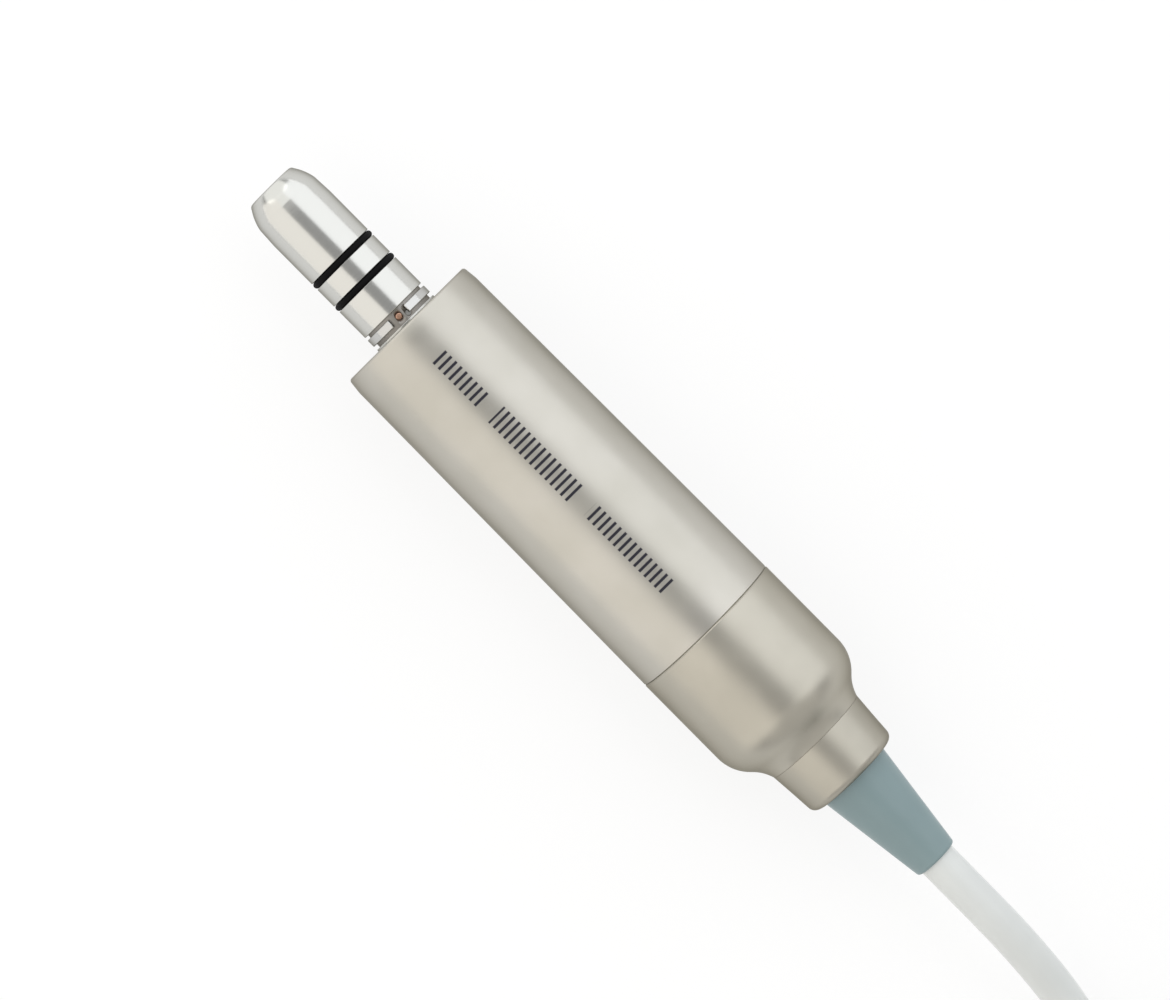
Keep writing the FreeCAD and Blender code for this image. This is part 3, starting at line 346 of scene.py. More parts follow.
nose = lathe("nose", [
    (TIP, SOCKET_RADIUS, SOCKET_EDGE),
    (TIP, TIP_RADIUS, TIP_ROUNDING),
    (LEAD_IN, LEAD_IN_RADIUS, LEAD_IN_ROUNDING),
    (EASING, EASING_RADIUS),
    (PLAIN_END, SPIGOT_RADIUS),
    *grooves,
    (LOCK_FAR, SPIGOT_RADIUS, LOCK_EDGE),
    (LOCK_FAR, LOCK_FLOOR),
    (LOCK_NEAR, LOCK_FLOOR),
    (LOCK_NEAR, SPIGOT_RADIUS, EDGE),
    (-FRONT_WALL, SPIGOT_RADIUS),
    (-FRONT_WALL, FLANGE_RADIUS),
    (FLANGE_REAR, FLANGE_RADIUS),
    (FLANGE_REAR, SEAL_RADIUS),
    (SEAL_SEAT, SEAL_RADIUS),
    (SEAL_SEAT, SHAFT_BORE),
    (SOCKET_FLOOR, SHAFT_BORE),
    (SOCKET_FLOOR, SOCKET_RADIUS),
])

# %% [markdown]
# Two small holes are drilled in the floor of the lock groove: one takes the brass pin that keeps the split
# ring from turning, and the other is a plain gauge hole. A drill is a cylinder, and the Boolean modifier
# cuts with it. The faces in the grooves then get the nose's second finish. It is rougher, because a grooving
# tool leaves them duller than the polished outside, and its colour is much darker, which is painted shade
# for the recess of the grooves.

# %% Holes in the nose
PIN_PLACE = 1.5
PIN_RADIUS = 0.5
HOLE_RADIUS = 0.42
HOLE_PLACE = 0.95
HOLE_SIDE = -1.3
PIN_FOOT = LOCK_FLOOR - 1.2
HOLE_FOOT = LOCK_FLOOR - 1.1
DRILL_TOP = SPIGOT_RADIUS + 1
GROOVED_END = RING_GROOVES[0] + 1
GROOVED_LOW = 4.1
GROOVED_HIGH = 5.3


def drill(piece, x, y, radius, low, high):
    """Cuts an upright round hole between two heights."""
    bpy.ops.object.select_all(action="DESELECT")
    bpy.ops.mesh.primitive_cylinder_add(vertices=32, radius=radius * MM, depth=(high - low) * MM,
                                        location=(x * MM, y * MM, (low + high) / 2 * MM))
    bit = bpy.context.object
    only(piece)
    cut = piece.modifiers.new("drill", "BOOLEAN")
    cut.object = bit
    cut.operation = "DIFFERENCE"
    cut.solver = "EXACT"
    bpy.ops.object.modifier_apply(modifier=cut.name)
    bpy.data.objects.remove(bit)


drill(nose, PIN_PLACE, 0, PIN_RADIUS + FIT, PIN_FOOT, DRILL_TOP)
drill(nose, HOLE_PLACE, HOLE_SIDE, HOLE_RADIUS, HOLE_FOOT, DRILL_TOP)
settle(nose)
# The second finish's darker colour is painted shade in the grooves, and its higher roughness is the real
# turned floor.
nose.data.materials.append(None)
nose.data.materials.append(None)
for face in nose.data.polygons:
    radius = math.hypot(face.center.y, face.center.z)
    grooved = LOCK_NEAR * MM < face.center.x < GROOVED_END * MM
    face.material_index = int(grooved and GROOVED_LOW * MM < radius < GROOVED_HIGH * MM)
finish_piece(nose, "motor", "polished_steel", "nose_spigot")

# %% [markdown]
# ## Rubber rings
# Each ring fills its groove and stands barely above the steel. A moulded ring has a fine parting line round
# its outside, so the outermost faces of a torus are inset and lifted a hair.

# %% Rubber rings
RING_SECTION = 1.0
RING_PROUD = 0.08
RING_MIDDLE = SPIGOT_RADIUS + RING_PROUD - RING_SECTION / 2
PARTING_LIFT = 0.015
PARTING_INSET = 0.1
OUTERMOST = 0.98


def rubber_ring(name, x):
    """A moulded ring around the nose."""
    bpy.ops.object.select_all(action="DESELECT")
    bpy.ops.mesh.primitive_torus_add(major_radius=RING_MIDDLE * MM, minor_radius=RING_SECTION / 2 * MM,
                                     major_segments=96, minor_segments=24,
                                     location=(x * MM, 0, 0), rotation=(0, math.pi / 2, 0))
    ring = bpy.context.object
    ring.name = name
    bpy.ops.object.transform_apply(location=True, rotation=True, scale=True)
    bpy.ops.object.mode_set(mode="EDIT")
    bpy.ops.mesh.select_all(action="DESELECT")
    mesh = bmesh.from_edit_mesh(ring.data)
    outermost = (RING_MIDDLE + RING_SECTION / 2 * OUTERMOST) * MM
    for face in mesh.faces:
        middle = face.calc_center_median()
        face.select = math.hypot(middle.y, middle.z) > outermost
    bmesh.update_edit_mesh(ring.data)
    bpy.ops.mesh.inset(thickness=PARTING_INSET * MM, depth=PARTING_LIFT * MM, use_boundary=True)
    bpy.ops.object.mode_set(mode="OBJECT")
    settle(ring)
    return ring


front_ring = rubber_ring("front_ring", RING_GROOVES[0])
rear_ring = rubber_ring("rear_ring", RING_GROOVES[1])
finish_piece(front_ring, "motor", "black_rubber", "front_o_ring")
finish_piece(rear_ring, "motor", "black_rubber", "rear_o_ring")

# %% [markdown]
# ## Split ring and pin
# The handpiece clicks over a split spring ring. Its section is a small rectangle spun most of the way
# round, which leaves the gap at the top where the pin stands. A Bevel modifier eases all its edges.

# %% Split ring
SPLIT_GAP = math.radians(33)
SPLIT_OUTER = 5.47
SPLIT_INNER = 4.9
SPLIT_HALF = 0.62
SPLIT_STEPS = 110
SPLIT_EDGE = 0.1
bpy.ops.object.select_all(action="DESELECT")
bpy.ops.mesh.primitive_plane_add(size=1, location=(0, 0, 0))
split_ring = bpy.context.object
split_ring.name = "split_ring"
split_ring.scale = (2 * SPLIT_HALF * MM, (SPLIT_OUTER - SPLIT_INNER) * MM, 1)
split_ring.location = (PIN_PLACE * MM, (SPLIT_OUTER + SPLIT_INNER) / 2 * MM, 0)
bpy.ops.object.transform_apply(location=True, rotation=True, scale=True)
split_ring.data.transform(Matrix.Rotation(math.pi / 2 - SPLIT_GAP / 2, 4, "X"))
bpy.ops.object.mode_set(mode="EDIT")
bpy.ops.mesh.select_all(action="SELECT")
bpy.ops.mesh.spin(steps=SPLIT_STEPS, angle=2 * math.pi - SPLIT_GAP, center=(0, 0, 0), axis=(1, 0, 0))
bpy.ops.object.mode_set(mode="OBJECT")
settle(split_ring)
angles = [math.atan2(vertex.co.y, vertex.co.z) for vertex in split_ring.data.vertices]
print("split ring starts", round(math.degrees(min(abs(angle) for angle in angles)), 1), "degrees off the top")
eased = split_ring.modifiers.new("eased", "BEVEL")
eased.width = SPLIT_EDGE * MM
eased.segments = 2
eased.angle_limit = math.radians(40)
only(split_ring)
bpy.ops.object.modifier_apply(modifier=eased.name)
settle(split_ring)
finish_piece(split_ring, "motor", "bright_steel", "snap_ring")

# %% [markdown]
# The pin is a short brass cylinder with a domed top that stays below the ring. Only the edge round its top
# is bevelled, in five steps, and its foot stays sharp because it is hidden in its hole.

# %% Pin
PIN_TOP = SPIGOT_RADIUS - 0.3
PIN_DOME = 0.22
bpy.ops.object.select_all(action="DESELECT")
bpy.ops.mesh.primitive_cylinder_add(vertices=40, radius=PIN_RADIUS * MM, depth=(PIN_TOP - PIN_FOOT) * MM,
                                    location=(PIN_PLACE * MM, 0, (PIN_TOP + PIN_FOOT) / 2 * MM))
pin = bpy.context.object
pin.name = "brass_pin"
bpy.ops.object.transform_apply(location=True, rotation=True, scale=True)
bpy.ops.object.mode_set(mode="EDIT")
bpy.ops.mesh.select_all(action="DESELECT")
mesh = bmesh.from_edit_mesh(pin.data)
for edge in mesh.edges:
    edge.select = all(end.co.z > (PIN_TOP - 0.01) * MM for end in edge.verts)
bmesh.update_edit_mesh(pin.data)
bpy.ops.mesh.bevel(offset=PIN_DOME * MM, segments=5, affect="EDGES")
bpy.ops.object.mode_set(mode="OBJECT")
settle(pin)
finish_piece(pin, "motor", "brass", "index_pin")

# %% [markdown]
# ## Drive spring
# Deep in the socket a spring pushes the drive dog forward. It is square wire, so a small square is swept
# along a screw line by the Screw modifier, and its two ends are closed. When the dog is pushed in, the
# spring is squeezed toward the shoulder that it stands on. Here it is a piece of its own, with its own mesh.

# %% Drive spring
SPRING_WIRE = 0.45
SPRING_MIDDLE = 2.125
SPRING_PITCH = 1.45
STEPS_PER_TURN = 36
spring_foot, spring_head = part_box("drive_spring")[0][0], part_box("drive_spring")[1][0]
spring_length = spring_head - spring_foot
spring_turns = (spring_length / MM - SPRING_WIRE) / SPRING_PITCH
bpy.ops.object.select_all(action="DESELECT")
bpy.ops.mesh.primitive_plane_add(size=SPRING_WIRE * MM,
                                 location=(spring_foot + SPRING_WIRE / 2 * MM, SPRING_MIDDLE * MM, 0))
spring = bpy.context.object
spring.name = "dog_spring"
bpy.ops.object.transform_apply(location=True, rotation=True, scale=True)
bpy.ops.object.mode_set(mode="EDIT")
bpy.ops.mesh.select_all(action="SELECT")
bpy.ops.mesh.delete(type="ONLY_FACE")
bpy.ops.object.mode_set(mode="OBJECT")
coil = spring.modifiers.new("coil", "SCREW")
coil.axis = "X"
coil.angle = 2 * math.pi * spring_turns
coil.screw_offset = SPRING_PITCH * spring_turns * MM
coil.steps = coil.render_steps = round(STEPS_PER_TURN * spring_turns)
only(spring)
bpy.ops.object.modifier_apply(modifier=coil.name)
bpy.ops.object.mode_set(mode="EDIT")
bpy.ops.mesh.select_all(action="SELECT")
bpy.ops.mesh.fill_holes(sides=4)
bpy.ops.object.mode_set(mode="OBJECT")
settle(spring)
finish_piece(spring, "rotor", "bright_steel", "drive_spring")
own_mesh(spring)
spring_places = [vertex.co.x / MM for vertex in spring.data.vertices]
print("spring from", round(min(spring_places), 2), "to", round(max(spring_places), 2), "mm, CAD's from",
      round(spring_foot / MM, 2), "to", round(spring_head / MM, 2))

# %% [markdown]
# ## Rear housing and collar
# Behind the seam the body keeps its width for a short band, then sweeps in over a shoulder and runs out in
# a hollow curve. Two arcs of one radius make that line, and they meet where the line between their centres
# crosses them. The hollow stops a little before it runs out, at a second seam. From there the collar goes on
# as a slim straight cone down to the neck and ends in a rounded edge round the bend relief.

# %% The sweep from band to neck
SWEEP_RADIUS = 6.3
SWEEP_START = -73.4
NECK_RADIUS = 7.87
COLLAR_STEP = 1.8
SWEEP_STEPS = 9
centre_rise = 2 * SWEEP_RADIUS - (BAND_RADIUS - NECK_RADIUS)
centre_run = math.sqrt((2 * SWEEP_RADIUS) ** 2 - centre_rise ** 2)
meeting = math.atan2(centre_run, centre_rise)
seam_angle = math.asin(COLLAR_STEP / SWEEP_RADIUS)
sweep_end = SWEEP_START - centre_run
collar_seam = sweep_end + COLLAR_STEP


def shoulder_point(angle, radius=SWEEP_RADIUS):
    """A point of the outward curve, that far round from its highest point."""
    level = BAND_RADIUS - SWEEP_RADIUS
    return (SWEEP_START - radius * math.sin(angle), level + radius * math.cos(angle))


def hollow_point(angle):
    """A point of the inward curve, that far round from where it runs out on the neck."""
    return (sweep_end + SWEEP_RADIUS * math.sin(angle), NECK_RADIUS + SWEEP_RADIUS * (1 - math.cos(angle)))


shoulder = [shoulder_point(meeting * step / SWEEP_STEPS) for step in range(SWEEP_STEPS + 1)]
hollow = [hollow_point(meeting + (seam_angle - meeting) * step / SWEEP_STEPS)
          for step in range(1, SWEEP_STEPS + 1)]
print("collar seam at", round(collar_seam, 2), "radius", round(hollow[-1][1], 2))

# %% Rear housing
WALL = 1.6
SLEEVE_OUTER = 9.98
SLEEVE_INNER = 8.6
LEDGE_INNER = 7.9
STUB_OUTER = 6.7
STUB_INNER = 5.8
STUB_END = -85.74
STUB_THROAT = -80.6
LEDGE_DEPTH = 0.7
SLEEVE_LENGTH = 6
inner_shoulder = [shoulder_point(meeting * step / SWEEP_STEPS, SWEEP_RADIUS - WALL)
                  for step in range(SWEEP_STEPS, -1, -1)]
rear = lathe("rear_shell", [
    (SEAM, BARREL_BORE - FIT),
    (SEAM, BAND_RADIUS - SEAM_DEPTH),
    (SEAM - SEAM_BEVEL, BAND_RADIUS),
    *shoulder,
    *hollow,
    (collar_seam, STUB_OUTER),
    (STUB_END, STUB_OUTER),
    (STUB_END, STUB_INNER),
    (STUB_THROAT, STUB_INNER),
    *inner_shoulder,
    (SEAM - WALL, BAND_RADIUS - WALL),
    (SEAM - WALL, LEDGE_INNER),
    (SEAM + LEDGE_DEPTH, LEDGE_INNER),
    (SEAM + LEDGE_DEPTH, SLEEVE_INNER),
    (SEAM + SLEEVE_LENGTH, SLEEVE_INNER),
    (SEAM + SLEEVE_LENGTH, SLEEVE_OUTER),
])
finish_piece(rear, "motor", "rear_metal", "rear_housing")

# %% Collar
COLLAR_REAR = collar_seam - 7.6
COLLAR_EDGE = 0.06
COLLAR_STEP_DOWN = 0.01
CONE_END = sweep_end - 1.6
REAR_ROUNDING = 1.1
COLLAR_REAR_RADIUS = 7.6
MOUTH_RADIUS = 5.62
MOUTH_EDGE = 0.2
LIP_THICK = 1.4
seam_radius = hollow[-1][1]
collar = lathe("collar", [
    (collar_seam, STUB_OUTER + FIT),
    (collar_seam, seam_radius - COLLAR_EDGE),
    (collar_seam - COLLAR_EDGE, seam_radius - COLLAR_STEP_DOWN),
    (CONE_END, NECK_RADIUS),
    (COLLAR_REAR, COLLAR_REAR_RADIUS, REAR_ROUNDING),
    (COLLAR_REAR, MOUTH_RADIUS, MOUTH_EDGE),
    (COLLAR_REAR + LIP_THICK, MOUTH_RADIUS),
    (COLLAR_REAR + LIP_THICK, STUB_OUTER + FIT),
], steps=6)
finish_piece(collar, "motor", "rear_metal", "cord_collar")

# %% [markdown]
# ## Bend relief
# A silicone boot keeps the cord from kinking where it leaves. It tapers to a thin lip round the cord, and
# the collar holds it by a hidden flange.

# %% Bend relief
RELIEF_ROOT = 5.6
RELIEF_TIP = 3.4
RELIEF_FLANGE = 6.4
RELIEF_END = COLLAR_REAR - 16.5
RELIEF_LIP = 0.4
CORD_RADIUS = CORD_DIAMETER / 2 / MM
relief = lathe("bend_relief_boot", [
    (STUB_END, CORD_RADIUS + FIT),
    (STUB_END, RELIEF_FLANGE),
    (COLLAR_REAR + LIP_THICK, RELIEF_FLANGE),
    (COLLAR_REAR + LIP_THICK, RELIEF_ROOT),
    (COLLAR_REAR, RELIEF_ROOT),
    (RELIEF_END, RELIEF_TIP, RELIEF_LIP),
    (RELIEF_END, CORD_RADIUS + FIT),
], count=96)
finish_piece(relief, "motor", "boot_silicone", "bend_relief")

# %% [markdown]
# ## The plug
# A round metal plug ends the cord: a short silicone relief, a fluted grip to pull it by, a smooth shell and
# a thin nose with a keyway, which shields the contacts in their plastic insert. It was turned too, so it
# comes off the same lathe, and is then shifted from the motor's axis to the cord's last point.

# %% Places along the plug
PLUG_START = -192.0
PLUG_AXIS = (-18.7, 11.3)
GRIP_START = PLUG_START + 13.0
GRIP_END = GRIP_START + 9.0
SHELL_END = GRIP_END + 12.0
NOSE_END = SHELL_END + 9.0
PLUG_RADIUS = 6.25
GRIP_RADIUS = 6.05
PLUG_NOSE = 5.0
PLUG_BORE = 4.2
PLUG_CORE = 1.0
PLUG_EDGE = 0.5
INSERT_FACE = NOSE_END - 1.2

# %% Plug shell and relief
TRIM_GROOVE = GRIP_END + 3.8
TRIM_DEPTH = 0.3
TRIM_EDGE = 0.12
plug_shell = lathe("plug_body", [
    (GRIP_END, PLUG_CORE),
    (GRIP_END, PLUG_RADIUS, PLUG_EDGE),
    (TRIM_GROOVE - 0.6, PLUG_RADIUS, TRIM_EDGE),
    (TRIM_GROOVE - 0.3, PLUG_RADIUS - TRIM_DEPTH),
    (TRIM_GROOVE + 0.3, PLUG_RADIUS - TRIM_DEPTH),
    (TRIM_GROOVE + 0.6, PLUG_RADIUS, TRIM_EDGE),
    (SHELL_END, PLUG_RADIUS, PLUG_EDGE),
    (SHELL_END, PLUG_NOSE),
    (NOSE_END, PLUG_NOSE, 0.25),
    (NOSE_END, PLUG_BORE, 0.15),
    (SHELL_END, PLUG_BORE),
    (SHELL_END, PLUG_CORE),
], count=96, shift=PLUG_AXIS)
KEYWAY_HALF = 1.0
KEYWAY_FLOOR = PLUG_NOSE - 0.45
bpy.ops.object.select_all(action="DESELECT")
bpy.ops.mesh.primitive_cube_add(size=1, location=(((SHELL_END + NOSE_END) / 2 + 1) * MM,
                                                  PLUG_AXIS[0] * MM,
                                                  (PLUG_AXIS[1] + KEYWAY_FLOOR + 1) * MM))
cutter = bpy.context.object
cutter.scale = ((NOSE_END - SHELL_END) * MM, 2 * KEYWAY_HALF * MM, 2 * MM)
only(plug_shell)
keyway = plug_shell.modifiers.new("keyway", "BOOLEAN")
keyway.object = cutter
keyway.solver = "EXACT"
bpy.ops.object.modifier_apply(modifier=keyway.name)
bpy.data.objects.remove(cutter)
settle(plug_shell)
finish_piece(plug_shell, "motor", "plug_metal", "plug_shell")

BOOT_TIP = 3.4
BOOT_ROOT = 4.5
BOOT_CORE = 0.8
plug_relief = lathe("plug_relief_boot", [
    (PLUG_START, BOOT_CORE),
    (PLUG_START, BOOT_TIP, 0.3),
    (GRIP_START, BOOT_ROOT),
    (GRIP_START, BOOT_CORE),
], count=72, shift=PLUG_AXIS)
finish_piece(plug_relief, "motor", "boot_silicone", "plug_relief")

# %% [markdown]
# The grip has twelve round flutes. The turned blank gets eight columns of points per flute, and the points
# near the middle of each flute are drawn toward the axis, in one resize for each of the two depths.

# %% Fluted grip
FLUTES = 12
COLUMNS = 8
FLUTE_DEPTHS = {0: 0.62, 1: 0.42}
GRIP_EDGE = 0.5
grip = lathe("plug_grip_ring", [
    (GRIP_START, PLUG_CORE),
    (GRIP_START, GRIP_RADIUS - GRIP_EDGE),
    (GRIP_START + 0.3 * GRIP_EDGE, GRIP_RADIUS - 0.4 * GRIP_EDGE),
    (GRIP_START + GRIP_EDGE, GRIP_RADIUS),
    (GRIP_END, GRIP_RADIUS),
    (GRIP_END, PLUG_CORE),
], count=FLUTES * COLUMNS)
only(grip)
for offset, depth in FLUTE_DEPTHS.items():
    bpy.ops.object.mode_set(mode="EDIT")
    bpy.ops.mesh.select_all(action="DESELECT")
    mesh = bmesh.from_edit_mesh(grip.data)
    for vertex in mesh.verts:
        column = round(math.atan2(vertex.co.y, vertex.co.z) / (2 * math.pi) * FLUTES * COLUMNS) % COLUMNS
        wide = math.hypot(vertex.co.y, vertex.co.z) > (GRIP_RADIUS - 1) * MM
        vertex.select = wide and min(column, COLUMNS - column) == offset
    mesh.select_flush_mode()
    bmesh.update_edit_mesh(grip.data)
    factor = 1 - depth / GRIP_RADIUS
    bpy.ops.transform.resize(value=(1, factor, factor), center_override=(0, 0, 0))
    bpy.ops.object.mode_set(mode="OBJECT")
grip.location = (0, PLUG_AXIS[0] * MM, PLUG_AXIS[1] * MM)
bpy.ops.object.transform_apply(location=True, rotation=True, scale=True)
settle(grip)
finish_piece(grip, "motor", "plug_metal", "plug_grip")

# %% [markdown]
# The insert is a plain plastic disc with its edge broken. Eight small round contacts stand out of it on one
# circle, and joining them makes them one piece, because they are one node of the CAD model.

# %% Insert and contacts
INSERT_CORE = 0.4
insert = lathe("plug_insert_disc", [
    (SHELL_END, INSERT_CORE),
    (SHELL_END, PLUG_BORE - FIT),
    (INSERT_FACE, PLUG_BORE - FIT, 0.25),
    (INSERT_FACE, INSERT_CORE),
], count=72, shift=PLUG_AXIS)
finish_piece(insert, "motor", "sensor_plastic", "plug_insert")

CONTACTS = 8
CONTACT_CIRCLE = 2.7
CONTACT_RADIUS = 0.45
CONTACT_ROOT = INSERT_FACE - 0.5
CONTACT_TIP = INSERT_FACE + 0.8
contact_pins = []
for number in range(CONTACTS):
    turn = 2 * math.pi * number / CONTACTS
    place = (PLUG_AXIS[0] + CONTACT_CIRCLE * math.cos(turn), PLUG_AXIS[1] + CONTACT_CIRCLE * math.sin(turn))
    contact_pins.append(lathe(f"contact_{number + 1}", [
        (CONTACT_ROOT, 0.1),
        (CONTACT_ROOT, CONTACT_RADIUS),
        (CONTACT_TIP, CONTACT_RADIUS, 0.2),
        (CONTACT_TIP, 0.1),
    ], count=20, shift=place))
only(contact_pins[0])
for contact in contact_pins:
    contact.select_set(True)
bpy.ops.object.join()
contacts = bpy.context.object
contacts.name = "plug_pins"
finish_piece(contacts, "motor", "contact_gold", "plug_contacts")

# %% [markdown]
# ## The strap round the hank
# A flat silicone strap is drawn tight round the waist of the hank, so its line is the outer line of the
# runs that it holds: two high walls, the table below and, above, the last run that rides on top. The line is
# a closed curve with straight stretches and tight corners, drawn out to a ribbon and given its thickness.

# %% Strap
STRAP_WIDTH = 8.0 * MM
STRAP_THICK = 0.7 * MM
STRAP_SLACK = 0.45 * MM
TABLE_SLACK = 0.03 * MM
CREST_SLACK = 0.2 * MM
CORNER = 1.6 * MM
side_reach = 2 * CORD_DIAMETER + STRAP_SLACK
foot = FLOOR + STRAP_THICK + TABLE_SLACK
shelf = FLOOR + 3 * CORD_DIAMETER + WAIST_LIFT - CORNER / 2
crest = FLOOR + 4 * CORD_DIAMETER + WAIST_LIFT + CREST_SLACK
crest_right, crest_left = 0.95 * CORD_DIAMETER, -0.05 * CORD_DIAMETER
strap_corners = [
    (-side_reach, foot), (side_reach, foot), (side_reach, shelf),
    (crest_right, crest), (crest_left, crest), (-side_reach, shelf),
]
strap_line = []
for before, corner, after in zip(strap_corners[-1:] + strap_corners[:-1], strap_corners,
                                 strap_corners[1:] + strap_corners[:1]):
    corner = Vector(corner)
    for neighbour in (Vector(before), Vector(after)):
        reach = min(CORNER, (neighbour - corner).length * 0.45)
        strap_line.append(corner + (neighbour - corner).normalized() * reach)
strap_curve = bpy.data.curves.new("strap", "CURVE")
strap_curve.dimensions = "3D"
spline = strap_curve.splines.new("BEZIER")
spline.bezier_points.add(len(strap_line) - 1)
for index, (point, place) in enumerate(zip(spline.bezier_points, strap_line)):
    corner = Vector(strap_corners[index // 2])
    point.co = (HANK_CENTRE.x, HANK_CENTRE.y + place.x, place.y)
    toward = Vector((HANK_CENTRE.x, HANK_CENTRE.y + corner.x, corner.y))
    inner = point.co.lerp(toward, 0.55)
    outer = point.co - (toward - point.co) * 0.3
    point.handle_left_type = point.handle_right_type = "FREE"
    point.tilt = math.pi / 2
    point.handle_left, point.handle_right = (outer, inner) if index % 2 == 0 else (inner, outer)
spline.use_cyclic_u = True
spline.resolution_u = 8
strap_curve.extrude = STRAP_WIDTH / 2
strap_object = bpy.data.objects.new("strap", strap_curve)
bpy.context.scene.collection.objects.link(strap_object)
only(strap_object)
bpy.ops.object.convert(target="MESH")
strap = bpy.context.object
strap.name = "strap"
thick = strap.modifiers.new("thick", "SOLIDIFY")
thick.thickness = STRAP_THICK
thick.offset = 1
bpy.ops.object.mode_set(mode="EDIT")
bpy.ops.mesh.select_all(action="SELECT")
bpy.ops.mesh.remove_doubles(threshold=WELD)
bpy.ops.mesh.normals_make_consistent(inside=False)
bpy.ops.object.mode_set(mode="OBJECT")
bpy.ops.object.modifier_apply(modifier=thick.name)
soft = strap.modifiers.new("soft", "BEVEL")
soft.width = 0.2 * MM
soft.segments = 2
soft.angle_limit = math.radians(50)
bpy.ops.object.modifier_apply(modifier=soft.name)
bpy.ops.object.shade_smooth_by_angle(angle=math.radians(35))
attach(strap, "motor")
strap_box = (strap.bound_box[0], strap.bound_box[6])
print("strap box", [tuple(round(part, 4) for part in corner) for corner in strap_box])

# %% [markdown]
# ## Finishes
# Every finish is a small node tree on Object coordinates, which are metres here, so a noise scale is in
# turns per metre. Colour and roughness vary a little, as on a handled metal, and a fine bump breaks up the
# reflections. Values that are the same all over are set on the shader itself.

# %% Helpers for finishes


def colour(red, green, blue):
    """A colour of the screen, 0 to 255, as light."""
    def linear(part):
        part = part / 255
        return part / 12.92 if part <= 0.04045 else ((part + 0.055) / 1.055) ** 2.4
    return (linear(red), linear(green), linear(blue), 1.0)


class Finish:
    """A material and short ways to add its nodes."""

    def __init__(self, name, metallic=0.0, roughness=0.5):
        self.material = bpy.data.materials.new(name)
        self.material.use_nodes = True
        self.nodes = self.material.node_tree.nodes
        self.links = self.material.node_tree.links
        self.shader = self.nodes["Principled BSDF"]
        self.shader.inputs["Metallic"].default_value = metallic
        self.shader.inputs["Roughness"].default_value = roughness
        self.place = self.nodes.new("ShaderNodeTexCoord").outputs["Object"]

    def stretch(self, x, y, z):
        """Object coordinates, stretched."""
        mapping = self.nodes.new("ShaderNodeMapping")
        mapping.inputs["Scale"].default_value = (x, y, z)
        self.links.new(self.place, mapping.inputs["Vector"])
        return mapping.outputs["Vector"]

    def noise(self, scale, detail=2.0, along=None):
        """Noise of so many turns per metre."""
        noise = self.nodes.new("ShaderNodeTexNoise")
        noise.inputs["Scale"].default_value = scale
        noise.inputs["Detail"].default_value = detail
        self.links.new(along or self.place, noise.inputs["Vector"])
        return noise.outputs["Fac"]

    def between(self, value, low, high, start=0.3, end=0.7):
        """A number that runs from low to high as a value runs from start to end."""
        scale = self.nodes.new("ShaderNodeMapRange")
        for socket, number in (("From Min", start), ("From Max", end), ("To Min", low), ("To Max", high)):
            scale.inputs[socket].default_value = number
        self.links.new(value, scale.inputs["Value"])
        return scale.outputs["Result"]

    def blend(self, value, first, second, start=0.3, end=0.7):
        """A colour between two, by a value."""
        ramp = self.nodes.new("ShaderNodeValToRGB")
        ramp.color_ramp.elements[0].position = start
        ramp.color_ramp.elements[0].color = first
        ramp.color_ramp.elements[1].position = end
        ramp.color_ramp.elements[1].color = second
        self.links.new(value, ramp.inputs["Fac"])
        return ramp.outputs["Color"]

    def set(self, socket, value):
        """Feeds a socket of the shader from a node."""
        self.links.new(value, self.shader.inputs[socket])

    def bump(self, height, strength, distance):
        """Raises the surface by a height."""
        bump = self.nodes.new("ShaderNodeBump")
        bump.inputs["Strength"].default_value = strength
        bump.inputs["Distance"].default_value = distance
        self.links.new(height, bump.inputs["Height"])
        self.links.new(bump.outputs["Normal"], self.shader.inputs["Normal"])


# %% [markdown]
# ## Metals
# The barrel is bead-blasted titanium: a warm grey that scatters the light widely. The rear housing is the
# same metal a shade darker, and the collar darker again. The nose is turned and polished, so it mirrors the
# lamps as sharp stripes and shows faint turning lines, which are bands along X.

# %% Metals
METAL_EDGE = colour(168, 166, 160)


def blasted_metal(name, dark, light, roughness):
    """A satin metal with a fine blasted grain."""
    finish = Finish(name, metallic=1.0)
    finish.shader.inputs["Specular Tint"].default_value = METAL_EDGE
    cloud = finish.noise(90.0, 3.0)
    finish.set("Base Color", finish.blend(cloud, dark, light, start=0.35, end=0.65))
    finish.set("Roughness", finish.between(finish.noise(160.0, 3.0), roughness - 0.03, roughness + 0.03))
    finish.bump(finish.noise(5200.0, 2.0), strength=0.12, distance=0.02 * MM)
    return finish


def turned_metal(name, dark, light, roughness, lines=2600.0, strength=0.05):
    """A metal off the lathe, with faint lines round its axis."""
    finish = Finish(name, metallic=1.0)
    finish.shader.inputs["Specular Tint"].default_value = METAL_EDGE
    rings = finish.noise(1.0, 3.0, finish.stretch(lines, 12.0, 12.0))
    finish.set("Base Color", finish.blend(rings, dark, light))
    finish.set("Roughness", finish.between(rings, roughness * 0.8, roughness * 1.25))
    finish.bump(rings, strength, distance=0.01 * MM)
    return finish


